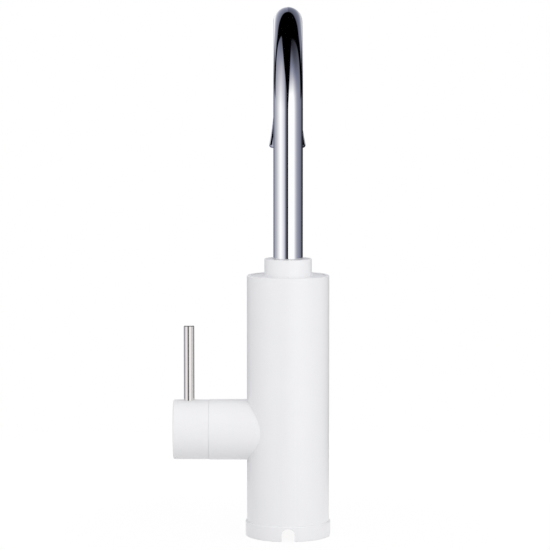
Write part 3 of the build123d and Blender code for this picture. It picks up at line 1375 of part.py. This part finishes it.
with BuildPart() as spout_nozzle:
    with BuildSketch(outlet_plane):
        with BuildLine():
            start = (NOZZLE_BORE_DIAMETER / 2, nozzle_top + NOZZLE_SPIGOT)
            flare_end = (NOZZLE_DIAMETER / 2, nozzle_flare_bottom)
            Polyline(
                start,
                (tube_bore - SEAT_GAP, nozzle_top + NOZZLE_SPIGOT),
                (tube_bore - SEAT_GAP, nozzle_top),
                (tube_radius, nozzle_top),
                (tube_radius, nozzle_flare_top),
            )
            ThreePointArc(
                (tube_radius, nozzle_flare_top),
                (
                    (tube_radius + NOZZLE_DIAMETER / 2) / 2 - NOZZLE_SWELL,
                    (nozzle_flare_top + nozzle_flare_bottom) / 2,
                ),
                flare_end,
            )
            Polyline(
                flare_end,
                (NOZZLE_DIAMETER / 2, nozzle_bottom),
                (MOUTH_DIAMETER / 2, nozzle_bottom),
                (MOUTH_DIAMETER / 2, aerator_bottom),
                (aerator_radius + SEAT_GAP, aerator_bottom),
                (aerator_radius + SEAT_GAP, aerator_washer_top),
                (NOZZLE_BORE_DIAMETER / 2, aerator_washer_top),
                start,
            )
        make_face()
    revolve(axis=outlet_axis)
    rim = spout_nozzle.faces().sort_by(Axis.Z)[0].edges().sort_by(SortBy.RADIUS)[-1]
    fillet(rim, NOZZLE_LIP_RADIUS)

# Aerator: a cup with a perforated face
with BuildPart() as aerator_insert:
    with BuildSketch(Plane((0, outlet_y, aerator_bottom))):
        Circle(aerator_radius)
    extrude(amount=AERATOR_HEIGHT)
    with BuildSketch(Plane((0, outlet_y, aerator_bottom + AERATOR_FACE))):
        Circle(aerator_radius - AERATOR_WALL)
    extrude(amount=AERATOR_HEIGHT - AERATOR_FACE, mode=Mode.SUBTRACT)
    with BuildSketch(Plane((0, outlet_y, aerator_bottom))):
        with HexLocations(AERATOR_HOLE_PITCH / sqrt(3), AERATOR_HOLE_ROWS, AERATOR_HOLE_ROWS):
            Circle(AERATOR_HOLE_DIAMETER / 2)
    extrude(amount=AERATOR_FACE, mode=Mode.SUBTRACT)
with BuildPart() as aerator_washer:
    with BuildSketch(Plane((0, outlet_y, aerator_top))):
        Circle(aerator_radius)
        Circle(aerator_radius - AERATOR_WASHER_WIDTH, mode=Mode.SUBTRACT)
    extrude(amount=AERATOR_WASHER_THICKNESS)

pieces = {
    "body_shell": body_shell.part,
    "base_skirt": base_skirt.part,
    "base_gasket": base_gasket.part,
    "base_screws": group(base_screws),
    "cable_gland": cable_gland.part,
    "inlet_fitting": inlet_fitting.part,
    "inlet_washer": inlet_washer,
    "inlet_nut": inlet_nut.part,
    "inlet_filter": inlet_filter.part,
    "spigot_rings": group(spigot_rings),
    "flow_sensor_body": flow_sensor_body.part,
    "flow_spider": flow_spider.part,
    "turbine_axle": turbine_axle.part,
    "flow_turbine": flow_turbine.part,
    "turbine_magnet": turbine_magnet,
    "flow_pickup": flow_pickup,
    "valve_body": valve_body.part,
    "valve_lock_ring": valve_lock_ring,
    "cartridge_seal": cartridge_seal.part,
    "fixed_disc": fixed_disc.part,
    "moving_disc": moving_disc.part,
    "cartridge_housing": cartridge_housing,
    "cartridge_stem": cartridge_stem.part,
    "stem_seal": stem_seal.part,
    "cartridge_nut": cartridge_nut.part,
    "handle_sensor": handle_sensor.part,
    "handle_sensor_lead": handle_sensor_lead,
    "handle_knob": handle_knob.part,
    "position_magnet": position_magnet.part,
    "knob_grub_screw": knob_grub_screw.part,
    "lever_pin": lever_pin.part,
    "top_cap": top_cap,
    "collar_nut": collar_nut.part,
    "swivel_bush": swivel_bush.part,
    "tank_can": tank_can.part,
    "tank_base": tank_base.part,
    "tank_seal": tank_seal,
    "tank_screws": group(tank_screws),
    "heating_element": heating_element.part,
    "element_nuts": group(element_nuts),
    "thermal_cutout": thermal_cutout.part,
    "temperature_probe": temperature_probe.part,
    "heater_leads": group(heater_leads),
    "probe_lead": probe_lead,
    "control_board": control_board.part,
    "terminal_block": terminal_block.part,
    "power_relay": power_relay.part,
    "lamp_header": lamp_header,
    "indicator_lens": indicator_lens.part,
    "indicator_lamp": indicator_lamp.part,
    "indicator_board": indicator_board.part,
    "indicator_lead": indicator_lead,
    "spout_tube": spout_tube.part,
    "spout_foot": spout_foot.part,
    "spout_rings": group(spout_rings),
    "spout_nozzle": spout_nozzle.part,
    "aerator_insert": aerator_insert.part,
    "aerator_washer": aerator_washer.part,
}
os.makedirs("parts", exist_ok=True)
for name, piece in pieces.items():
    piece.label = name
    export_step(piece, f"parts/{name}.step")
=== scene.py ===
"""The looks of an electric instant water heater tap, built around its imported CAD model."""

import json
import math

import bmesh
import bpy
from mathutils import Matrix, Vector


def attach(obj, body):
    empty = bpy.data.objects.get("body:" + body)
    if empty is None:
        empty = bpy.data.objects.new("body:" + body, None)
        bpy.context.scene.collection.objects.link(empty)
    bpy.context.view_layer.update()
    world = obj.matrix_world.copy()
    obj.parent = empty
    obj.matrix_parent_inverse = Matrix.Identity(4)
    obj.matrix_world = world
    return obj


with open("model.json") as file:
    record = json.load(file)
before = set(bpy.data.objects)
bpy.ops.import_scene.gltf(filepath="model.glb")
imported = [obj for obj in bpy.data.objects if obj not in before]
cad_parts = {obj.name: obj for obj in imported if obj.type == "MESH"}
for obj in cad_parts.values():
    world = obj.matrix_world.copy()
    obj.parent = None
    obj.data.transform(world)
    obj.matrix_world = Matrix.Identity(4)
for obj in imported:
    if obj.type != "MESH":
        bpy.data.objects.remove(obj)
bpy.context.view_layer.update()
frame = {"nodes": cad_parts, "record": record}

MM = 0.001

# Camera, worked out from the photograph: behind the tap, level with the spout's top
CAMERA_PLACE = Vector((9.4, 2038.0, 377.7)) * MM
CAMERA_PITCH = math.radians(5.3)
CAMERA_LENS = 186.5
SENSOR_WIDTH = 36.0

# New meshes
MERGE_DISTANCE = 0.001 * MM
CORNER_ANGLE = math.radians(30)
TURNING_STEPS = 96

# Slip ring in the seam between the arm and the knob, which closes it to a hairline
ARM_AXIS_HEIGHT = 76.8
SEAM_START = 56.9
SEAM_END = 57.1
SLIP_RING_PLAY = 0.01
SLIP_RING_BORE = 18.95
SLIP_RING_RADIUS = 21.33

# Steel gauze behind the aerator's holes
OUTLET_REACH = -124.0
SCREEN_TOP = 279.25
SCREEN_RADIUS = 8.85
SCREEN_MESH = 0.7
SCREEN_RIM_CELLS = 0.7  # a cell is kept if its middle is this many cells inside the rim
SCREEN_WIRE = 0.22
SCREEN_THICKNESS = 0.18

# Floor
FLOOR_RADIUS = 0.5
FLOOR_SIDES = 96
FLOOR_WHITE = 0.7
FLOOR_ROUGHNESS = 0.9
FLOOR_GLOW = 1.034
FLOOR_SHADOW_SHARE = 0.1
FLOOR_SHADOW_REACH = (0.12, 0.42)
FLOOR_MIRRORED_REACH = (0.05, 0.48)

# Plain room that lights the tap: its brightness level with the tap, and how much more overhead
ROOM_LOW = 0.79
ROOM_RISE = 0.16

# Soft lamps: bearing from the photograph's side and rise in degrees, distance and size in metres
LAMP_TARGET = Vector((0, 0, 0.19))
LAMPS = {
    "key_left": dict(bearing=35, rise=20, distance=1.6, size=(1.0, 1.4), power=1.9),
    "key_right": dict(bearing=-35, rise=20, distance=1.6, size=(1.0, 1.4), power=5.8),
    "back_fill": dict(bearing=180, rise=30, distance=1.8, size=(1.6, 1.2), power=1.5),
}

# Mirrored studio. A turn runs from 0 at the photograph's camera to 1 behind the tap, positive to
# the left, and a climb from 0 at the horizon to 1 overhead. A ramp is a list of (place, level),
# and a soft edge is dark at its first value and lit at its second.
MIRROR_LEVEL = 1.055
HORIZON = 0.004  # a ray that goes lower than this sees what is at the horizon
FLAGS_FOOT = (0.01, 0.03)  # the flags hide nothing below the first climb, and all above the second
LEFT_BOX_TURN = [
    (0.0, 0.0), (0.044, 0.0), (0.083, 0.1), (0.125, 0.3), (0.167, 0.62), (0.256, 0.88), (0.344, 1.05),
    (0.45, 0.78), (0.567, 0.5), (0.65, 0.42), (0.745, 0.27), (0.844, 0.16), (0.917, 0.12), (0.97, 0.3),
]
LEFT_BOX_CLIMB = [
    (0.0, 1.0), (0.1, 0.85), (0.22, 0.7), (0.33, 0.55), (0.44, 0.42), (0.5, 0.32), (0.67, 0.2),
]
LEFT_BOX_EDGE = (0.64, 0.72)
LEFT_FLAG_SLOPE = 0.52
LEFT_FLAG_EDGE = (0.04, 0.14)
RIGHT_BOX_SHIFT = 0.02  # the right box starts this far to the left of the camera
RIGHT_BOX_TURN = [
    (0.0, 0.0), (0.031, 1.0), (0.231, 1.0), (0.276, 0.8), (0.32, 0.6), (0.37, 0.42), (0.414, 0.31),
    (0.47, 0.25), (0.548, 0.2), (0.67, 0.14), (0.72, 0.06), (0.77, 0.02), (0.9, 0.0), (0.99, 0.1),
]
RIGHT_BOX_CLIMB = [
    (0.0, 1.25), (0.11, 1.15), (0.22, 0.85), (0.36, 0.46), (0.5, 0.24), (0.62, 0.15), (0.78, 0.05),
]
RIGHT_BOX_EDGE = (0.29, 0.38)
RIGHT_FLAG_SLOPE = 0.4
RIGHT_FLAG_EDGE = (0.1, 0.22)
BACK_BOX_CLIMB = [
    (0.0, 1.0), (0.1, 0.6), (0.15, 0.36), (0.23, 0.24), (0.32, 0.17), (0.39, 0.13), (0.41, 0.0),
]
BACK_BOX_FOOT = (0.1, 0.16)
BACK_BOX_SIDE = (0.7, 0.74)
BACK_BOX_FRONT = (1.15, 1.3)
BACK_BOX_LEVEL = 0.75
BACK_BOX_LEFT_RISE = 0.45
BACK_STRIP_SIDE = (0.8, 0.86)
BACK_STRIP_FOOT = (0.005, 0.03)
MIRROR_TINTS = [
    (0.0, (0.0, 0.0, 0.0)), (0.02, (0.016, 0.016, 0.022)), (0.12, (0.105, 0.112, 0.15)),
    (0.2, (0.172, 0.185, 0.255)), (0.3, (0.27, 0.28, 0.36)), (0.43, (0.415, 0.42, 0.475)),
    (0.7, (0.685, 0.69, 0.73)), (1.0, (1.0, 1.0, 1.0)),
]


class Nodes:
    """A tree of shader nodes, with short ways to add and join them."""

    def __init__(self, tree):
        self.tree = tree

    def add(self, kind, **settings):
        """A new node with its settings."""
        node = self.tree.nodes.new(kind)
        for name, value in settings.items():
            setattr(node, name, value)
        return node

    def feed(self, socket, value):
        """Joins an output to a socket, or sets the socket's own value."""
        if isinstance(value, bpy.types.NodeSocket):
            self.tree.links.new(value, socket)
        else:
            socket.default_value = value

    def maths(self, operation, first, second=0.0, third=0.0):
        """One step of arithmetic."""
        node = self.add("ShaderNodeMath", operation=operation)
        for socket, value in zip(node.inputs, (first, second, third)):
            self.feed(socket, value)
        return node.outputs[0]

    def times(self, *factors):
        """The product of all the factors."""
        result = factors[0]
        for factor in factors[1:]:
            result = self.maths("MULTIPLY", result, factor)
        return result

    def remainder(self, value):
        """What is left of 1 after the value."""
        return self.maths("SUBTRACT", 1.0, value)

    def edge(self, value, start, end):
        """A soft edge: 0 at the start, 1 at the end."""
        node = self.add("ShaderNodeMapRange", interpolation_type="SMOOTHSTEP")
        self.feed(node.inputs["Value"], value)
        self.feed(node.inputs["From Min"], start)
        self.feed(node.inputs["From Max"], end)
        return node.outputs["Result"]

    def span(self, factor, low, high, start=0.3, end=0.7):
        """A value that goes from low to high as the factor goes from start to end."""
        node = self.add("ShaderNodeMapRange")
        self.feed(node.inputs["Value"], factor)
        self.feed(node.inputs["From Min"], start)
        self.feed(node.inputs["From Max"], end)
        self.feed(node.inputs["To Min"], low)
        self.feed(node.inputs["To Max"], high)
        return node.outputs["Result"]

    def ramp(self, value, stops):
        """A brightness or a colour that runs through these (place, level) stops."""
        node = self.add("ShaderNodeValToRGB")
        self.feed(node.inputs[0], value)
        elements = node.color_ramp.elements
        while len(elements) < len(stops):
            elements.new(0.5)
        for element, (place, level) in zip(elements, stops):
            element.position = place
            element.color = (*level, 1) if isinstance(level, tuple) else (level, level, level, 1)
        return node.outputs[0]

    def between(self, factor, low, high):
        """A colour between two, by the factor."""
        node = self.add("ShaderNodeMix", data_type="RGBA")
        self.feed(node.inputs[0], factor)
        for socket, colour in ((node.inputs[6], low), (node.inputs[7], high)):
            self.feed(socket, colour if isinstance(colour, bpy.types.NodeSocket) else (*colour, 1))
        return node.outputs[2]

    def blend(self, factor, first, second):
        """A shader between two, by the factor."""
        node = self.add("ShaderNodeMixShader")
        for socket, value in zip(node.inputs, (factor, first.outputs[0], second.outputs[0])):
            self.feed(socket, value)
        return node


class Finish(Nodes):
    """A new material: its shader, and the patterns over the surface that feed it."""

    def __init__(self, name, **values):
        self.material = bpy.data.materials.new(name)
        self.material.use_nodes = True
        super().__init__(self.material.node_tree)
        self.shader = self.tree.nodes["Principled BSDF"]
        self.place = self.add("ShaderNodeTexCoord").outputs["Object"]
        for socket, value in values.items():
            self.shader.inputs[socket.replace("_", " ")].default_value = value

    def stretched(self, x, y, z):
        """The object's coordinates, scaled along each axis."""
        mapping = self.add("ShaderNodeMapping")
        self.feed(mapping.inputs["Vector"], self.place)
        self.feed(mapping.inputs["Scale"], (x, y, z))
        return mapping.outputs["Vector"]

    def noise(self, size, detail=3.0, vector=None):
        """Cloudy noise whose blotches are about this large, in millimetres."""
        node = self.add("ShaderNodeTexNoise")
        self.feed(node.inputs["Vector"], vector or self.place)
        self.feed(node.inputs["Scale"], 1 / (size * MM))
        self.feed(node.inputs["Detail"], detail)
        return node.outputs["Fac"]

    def cells(self, size):
        """Distance to the nearest cell's middle, for grit of this size in millimetres."""
        node = self.add("ShaderNodeTexVoronoi")
        self.feed(node.inputs["Vector"], self.place)
        self.feed(node.inputs["Scale"], 1 / (size * MM))
        return node.outputs["Distance"]

    def relief(self, height, depth, under=None):
        """Bumps of this depth, in millimetres, on top of any other relief."""
        node = self.add("ShaderNodeBump")
        self.feed(node.inputs["Height"], height)
        self.feed(node.inputs["Distance"], depth * MM)
        if under is not None:
            self.feed(node.inputs["Normal"], under)
        return node.outputs["Normal"]

    def paint(self, colour, roughness, normal):
        """Joins what varies over the surface to the shader, and gives the finished material."""
        self.feed(self.shader.inputs["Base Color"], colour)
        self.feed(self.shader.inputs["Roughness"], roughness)
        self.feed(self.shader.inputs["Normal"], normal)
        return self.material


def white_plastic():
    """Satin white ABS: a faint moulded grain, and clouds of slightly cooler white."""
    finish = Finish("white_plastic", IOR=1.46)
    clouds = finish.noise(24)
    grain = finish.noise(0.35, detail=2)
    waves = finish.noise(9, detail=1)
    return finish.paint(
        colour=finish.between(clouds, (0.865, 0.865, 0.885), (0.89, 0.89, 0.905)),
        roughness=finish.span(grain, 0.3, 0.38),
        normal=finish.relief(grain, 0.006, finish.relief(waves, 0.02)),
    )


def chrome():
    """Polished chrome plating, whose mirror is a little wavy over the drawn tube."""
    finish = Finish("chrome", Metallic=1.0)
    haze = finish.noise(16)
    waves = finish.noise(14, detail=1)
    return finish.paint(
        colour=finish.between(haze, (0.915, 0.92, 0.935), (0.945, 0.945, 0.95)),
        roughness=finish.span(haze, 0.008, 0.02),
        normal=finish.relief(waves, 0.008),
    )


def lever_steel():
    """Polished stainless bar, with faint strokes along its length."""
    finish = Finish("lever_steel", Metallic=1.0)
    strokes = finish.noise(0.4, detail=4, vector=finish.stretched(1, 1, 0.02))
    return finish.paint(
        colour=finish.between(strokes, (0.71, 0.68, 0.655), (0.9, 0.875, 0.85)),
        roughness=finish.span(strokes, 0.05, 0.11),
        normal=finish.relief(strokes, 0.0015),
    )


def rubber():
    """Black moulded rubber, matt, with a bloom of grey in places."""
    finish = Finish("rubber")
    bloom = finish.span(finish.noise(5), 0, 1, start=0.45, end=0.75)
    grit = finish.cells(0.25)
    return finish.paint(
        colour=finish.between(bloom, (0.02, 0.02, 0.021), (0.05, 0.05, 0.052)),
        roughness=finish.span(grit, 0.6, 0.78, start=0.0, end=0.5),
        normal=finish.relief(grit, 0.01),
    )


def circuit_board():
    """Green solder mask over copper tracks, which show as lighter bands."""
    finish = Finish("circuit_board")
    tracks = finish.add("ShaderNodeTexBrick", offset=0.37, squash=1.6)
    finish.feed(tracks.inputs["Vector"], finish.place)
    finish.feed(tracks.inputs["Scale"], 1 / (3.0 * MM))
    finish.feed(tracks.inputs["Mortar Size"], 0.12)
    weave = finish.noise(0.3, detail=2)
    return finish.paint(
        colour=finish.between(tracks.outputs["Fac"], (0.01, 0.09, 0.035), (0.02, 0.15, 0.06)),
        roughness=finish.span(weave, 0.22, 0.36),
        normal=finish.relief(tracks.outputs["Fac"], 0.02, finish.relief(weave, 0.006)),
    )


def plain_metal(name, dark, light, grain_size, roughness, depth, strokes=(1, 1, 1)):
    """A metal with turned, drawn or plated grain, drawn out along the strokes."""
    finish = Finish(name, Metallic=1.0)
    grain = finish.noise(grain_size, detail=4, vector=finish.stretched(*strokes))
    cloud = finish.noise(grain_size * 12)
    return finish.paint(
        colour=finish.between(cloud, dark, light),
        roughness=finish.span(grain, *roughness),
        normal=finish.relief(grain, depth),
    )


def plain_plastic(name, dark, light, grain_size, roughness, depth, **values):
    """A moulded or cast material with a fine grain."""
    finish = Finish(name, **values)
    grain = finish.noise(grain_size, detail=3)
    cloud = finish.noise(grain_size * 20)
    return finish.paint(
        colour=finish.between(cloud, dark, light),
        roughness=finish.span(grain, *roughness),
        normal=finish.relief(grain, depth),
    )


# Strokes that a lathe or a draw leaves round an upright piece
ROUND = (0.03, 0.03, 1)

PLAIN_METALS = {
    "tank_steel": dict(dark=(0.5, 0.49, 0.48), light=(0.62, 0.61, 0.6), grain_size=0.4,
                       roughness=(0.22, 0.36), depth=0.004, strokes=ROUND),
    "screw_steel": dict(dark=(0.5, 0.52, 0.55), light=(0.68, 0.7, 0.72), grain_size=0.2,
                        roughness=(0.2, 0.35), depth=0.003),
    "brass": dict(dark=(0.62, 0.43, 0.16), light=(0.78, 0.57, 0.25), grain_size=0.25,
                  roughness=(0.2, 0.38), depth=0.004, strokes=ROUND),
    "magnet": dict(dark=(0.45, 0.44, 0.43), light=(0.6, 0.59, 0.57), grain_size=0.2,
                   roughness=(0.15, 0.3), depth=0.002),
}
PLAIN_PLASTICS = {
    "grey_plastic": dict(dark=(0.16, 0.165, 0.17), light=(0.21, 0.215, 0.22), grain_size=0.25,
                         roughness=(0.45, 0.6), depth=0.01),
    "dark_plastic": dict(dark=(0.02, 0.02, 0.022), light=(0.035, 0.035, 0.04), grain_size=0.25,
                         roughness=(0.35, 0.5), depth=0.006),
    "acetal": dict(dark=(0.74, 0.73, 0.7), light=(0.8, 0.79, 0.76), grain_size=0.3,
                   roughness=(0.3, 0.42), depth=0.004),
    "ceramic": dict(dark=(0.78, 0.75, 0.7), light=(0.85, 0.83, 0.79), grain_size=0.15,
                    roughness=(0.08, 0.16), depth=0.001),
    "terminal_plastic": dict(dark=(0.03, 0.2, 0.08), light=(0.04, 0.26, 0.11), grain_size=0.3,
                             roughness=(0.35, 0.5), depth=0.005),
    "lead_insulation": dict(dark=(0.5, 0.04, 0.03), light=(0.6, 0.06, 0.04), grain_size=0.3,
                            roughness=(0.4, 0.55), depth=0.006),
    "lamp_lens": dict(dark=(0.8, 0.82, 0.84), light=(0.86, 0.87, 0.88), grain_size=0.2,
                      roughness=(0.12, 0.2), depth=0.004, Transmission_Weight=0.12, IOR=1.49),
    "lamp_epoxy": dict(dark=(0.5, 0.06, 0.04), light=(0.6, 0.1, 0.06), grain_size=0.3,
                       roughness=(0.08, 0.15), depth=0.001),
    "aerator_plastic": dict(dark=(0.16, 0.16, 0.17), light=(0.2, 0.2, 0.21), grain_size=0.2,
                            roughness=(0.4, 0.5), depth=0.005),
}
FINISHES = {
    "white_plastic": white_plastic(),
    "chrome": chrome(),
    "lever_steel": lever_steel(),
    "rubber": rubber(),
    "circuit_board": circuit_board(),
    **{name: plain_metal(name, **look) for name, look in PLAIN_METALS.items()},
    **{name: plain_plastic(name, **look) for name, look in PLAIN_PLASTICS.items()},
}


def dress_nodes():
    """Gives every node its slot's finish."""
    for part in frame["record"]["subparts"]:
        frame["nodes"][part["node"]].data.materials[0] = FINISHES[part["material_slot"]]


def new_piece(name, shape, body, slot):
    """Makes a shape into a piece that rides on a body and has a slot's finish."""
    bmesh.ops.remove_doubles(shape, verts=shape.verts, dist=MERGE_DISTANCE)
    bmesh.ops.recalc_face_normals(shape, faces=shape.faces)
    mesh = bpy.data.meshes.new(name)
    shape.to_mesh(mesh)
    shape.free()
    mesh.materials.append(FINISHES[slot])
    piece = bpy.data.objects.new(name, mesh)
    bpy.context.scene.collection.objects.link(piece)
    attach(piece, body)
    return piece


def turned(outline, centre, axis):
    """A solid turned about an axis, from an outline of (distance along it, radius) in millimetres."""
    shape = bmesh.new()
    centre = Vector(centre)
    along = Vector(axis)
    out = along.orthogonal().normalized()
    corners = [shape.verts.new((centre + along * far + out * radius) * MM) for far, radius in outline]
    sides = [shape.edges.new(pair) for pair in zip(corners, corners[1:] + corners[:1])]
    bmesh.ops.spin(shape, geom=corners + sides, cent=centre * MM, axis=along,
                   steps=TURNING_STEPS, angle=math.tau, use_merge=True)
    return shape


def smooth(piece):
    """Shades the curved faces smooth and keeps the corners crisp."""
    piece.data.shade_smooth()
    piece.data.set_sharp_from_angle(angle=CORNER_ANGLE)


def fit_slip_ring():
    """A white ring between the arm and the knob, which the knob slides on."""
    start = SEAM_START + SLIP_RING_PLAY
    end = SEAM_END - SLIP_RING_PLAY
    outline = [
        (start, SLIP_RING_BORE), (start, SLIP_RING_RADIUS),
        (end, SLIP_RING_RADIUS), (end, SLIP_RING_BORE),
    ]
    ring = turned(outline, centre=(0, 0, ARM_AXIS_HEIGHT), axis=(1, 0, 0))
    smooth(new_piece("slip_ring", ring, "tap_body", "white_plastic"))


def fit_outlet_screen():
    """A round of gauze: a grid that is cut round, opened in each cell and given a thickness."""
    shape = bmesh.new()
    cells = math.ceil(2 * SCREEN_RADIUS / SCREEN_MESH)
    half = cells * SCREEN_MESH * MM / 2
    bmesh.ops.create_grid(shape, x_segments=cells, y_segments=cells, size=half)
    rim = (SCREEN_RADIUS - SCREEN_MESH * SCREEN_RIM_CELLS) * MM
    outside = [face for face in shape.faces if face.calc_center_median().length > rim]
    bmesh.ops.delete(shape, geom=outside, context="FACES")
    holes = list(shape.faces)
    wire = SCREEN_WIRE / 2 * MM
    bmesh.ops.inset_individual(shape, faces=holes, thickness=wire, use_even_offset=True)
    bmesh.ops.delete(shape, geom=holes, context="FACES")
    bmesh.ops.solidify(shape, geom=shape.faces, thickness=SCREEN_THICKNESS * MM)
    place = Vector((0, OUTLET_REACH, SCREEN_TOP)) * MM
    bmesh.ops.translate(shape, verts=shape.verts, vec=place)
    new_piece("outlet_screen", shape, "spout", "tank_steel")


class Sky(Nodes):
    """The world's shader, worked out from the direction that a ray takes."""

    def __init__(self):
        world = bpy.data.worlds.new("studio")
        bpy.context.scene.world = world
        world.use_nodes = True
        super().__init__(world.node_tree)
        self.background = self.tree.nodes["Background"]
        split = self.add("ShaderNodeSeparateXYZ")
        self.feed(split.inputs[0], self.add("ShaderNodeTexCoord").outputs["Generated"])
        self.x, self.y, self.z = split.outputs


def mirrored_room(sky):
    """What the chrome mirrors: soft boxes beside the camera and behind the tap, and dark flags."""
    height = sky.maths("MAXIMUM", sky.z, HORIZON)
    aside = sky.maths("DIVIDE", sky.x, height)
    ahead = sky.maths("DIVIDE", sky.y, height)
    either_side = sky.maths("ABSOLUTE", aside)
    turn = sky.maths("DIVIDE", sky.maths("ARCTAN2", sky.x, sky.y), math.pi)
    either_turn = sky.maths("ABSOLUTE", turn)
    climb = sky.maths("MULTIPLY", sky.maths("ARCSINE", height), 2 / math.pi)
    below_flags = sky.remainder(sky.edge(climb, *FLAGS_FOOT))

    left_flag = sky.maths("MULTIPLY_ADD", aside, LEFT_FLAG_SLOPE, ahead)
    left_box = sky.times(
        sky.ramp(turn, LEFT_BOX_TURN),
        sky.ramp(climb, LEFT_BOX_CLIMB),
        sky.edge(aside, *LEFT_BOX_EDGE),
        sky.maths("MAXIMUM", below_flags, sky.edge(left_flag, *LEFT_FLAG_EDGE)),
    )
    right_flag = sky.maths("MULTIPLY_ADD", either_side, RIGHT_FLAG_SLOPE, ahead)
    right_box = sky.times(
        sky.ramp(sky.maths("SUBTRACT", RIGHT_BOX_SHIFT, turn), RIGHT_BOX_TURN),
        sky.ramp(climb, RIGHT_BOX_CLIMB),
        sky.edge(sky.maths("MULTIPLY", aside, -1.0), *RIGHT_BOX_EDGE),
        sky.maths("MAXIMUM", below_flags, sky.edge(right_flag, *RIGHT_FLAG_EDGE)),
    )
    low_strip = sky.times(sky.edge(either_turn, *BACK_STRIP_SIDE), sky.edge(climb, *BACK_STRIP_FOOT))
    on_left = sky.maths("GREATER_THAN", turn, 0.0)
    back_box = sky.times(
        sky.ramp(climb, BACK_BOX_CLIMB),
        sky.maths("MAXIMUM", sky.edge(climb, *BACK_BOX_FOOT), low_strip),
        sky.edge(either_turn, *BACK_BOX_SIDE),
        sky.edge(sky.maths("MULTIPLY", ahead, -1.0), *BACK_BOX_FRONT),
        sky.maths("MULTIPLY_ADD", on_left, BACK_BOX_LEFT_RISE, BACK_BOX_LEVEL),
    )
    level = sky.maths("ADD", sky.maths("ADD", left_box, right_box), back_box)
    return sky.ramp(level, MIRROR_TINTS)


def light_studio():
    """White for the camera, a soft grey room for the light, and soft boxes for what shines."""
    sky = Sky()
    path = sky.add("ShaderNodeLightPath")
    glossy = path.outputs["Is Glossy Ray"]
    seen = sky.maths("MAXIMUM", path.outputs["Is Camera Ray"], path.outputs["Is Transmission Ray"])
    room = sky.maths("MULTIPLY_ADD", sky.z, ROOM_RISE, ROOM_LOW)
    level = sky.maths("MULTIPLY_ADD", glossy, sky.maths("SUBTRACT", MIRROR_LEVEL, room), room)
    strength = sky.maths("MULTIPLY_ADD", seen, sky.remainder(level), level)
    sky.feed(sky.background.inputs["Color"], sky.between(glossy, (1, 1, 1), mirrored_room(sky)))
    sky.feed(sky.background.inputs["Strength"], strength)


def floor_finish():
    """White that keeps a faint shadow of the tap, and that chrome mirrors less of further out."""
    finish = Finish("floor_white", Roughness=FLOOR_ROUGHNESS)
    finish.feed(finish.shader.inputs["Base Color"], (FLOOR_WHITE, FLOOR_WHITE, FLOOR_WHITE, 1))
    glow = finish.add("ShaderNodeEmission")
    finish.feed(glow.inputs["Strength"], FLOOR_GLOW)
    away = finish.add("ShaderNodeVectorMath", operation="LENGTH")
    finish.feed(away.inputs[0], finish.place)
    distance = away.outputs["Value"]
    path = finish.add("ShaderNodeLightPath")
    mirrored = path.outputs["Is Glossy Ray"]
    seen = finish.maths("MAXIMUM", path.outputs["Is Camera Ray"], mirrored)
    near = finish.remainder(finish.edge(distance, *FLOOR_SHADOW_REACH))
    lit = finish.times(seen, finish.remainder(finish.times(near, FLOOR_SHADOW_SHARE)))
    faded = finish.times(mirrored, finish.edge(distance, *FLOOR_MIRRORED_REACH))
    white = finish.blend(lit, finish.shader, glow)
    surface = finish.blend(faded, white, finish.add("ShaderNodeBsdfTransparent"))
    finish.feed(finish.tree.nodes["Material Output"].inputs["Surface"], surface.outputs[0])
    return finish.material


def lay_floor():
    """A round white table top under the tap."""
    bpy.ops.mesh.primitive_circle_add(vertices=FLOOR_SIDES, radius=FLOOR_RADIUS, fill_type="NGON")
    floor = bpy.context.object
    floor.name = "floor"
    floor.data.materials.append(floor_finish())


def hang_lamp(name, bearing, rise, distance, size, power):
    """A soft lamp that looks at the tap's middle, and that nothing mirrors."""
    data = bpy.data.lights.new(name, "AREA")
    data.shape = "RECTANGLE"
    data.size, data.size_y = size
    data.energy = power
    lamp = bpy.data.objects.new(name, data)
    turn = math.radians(bearing)
    lift = math.radians(rise)
    flat = math.cos(lift)
    away = Vector((math.sin(turn) * flat, math.cos(turn) * flat, math.sin(lift)))
    lamp.location = LAMP_TARGET + away * distance
    lamp.rotation_euler = away.to_track_quat("Z", "Y").to_euler()
    bpy.context.scene.collection.objects.link(lamp)
    lamp.visible_glossy = False


def set_camera():
    """The photograph's camera, which looks along -Y and a little down."""
    data = bpy.data.cameras.new("camera")
    data.lens = CAMERA_LENS
    data.sensor_width = SENSOR_WIDTH
    camera = bpy.data.objects.new("camera", data)
    camera.location = CAMERA_PLACE
    camera.rotation_euler = (math.radians(90) - CAMERA_PITCH, 0, math.pi)
    bpy.context.scene.collection.objects.link(camera)
    bpy.context.scene.camera = camera


bpy.context.scene.view_settings.view_transform = "Standard"
dress_nodes()
fit_slip_ring()
fit_outlet_screen()
light_studio()
lay_floor()
for lamp_name, lamp_values in LAMPS.items():
    hang_lamp(lamp_name, **lamp_values)
set_camera()
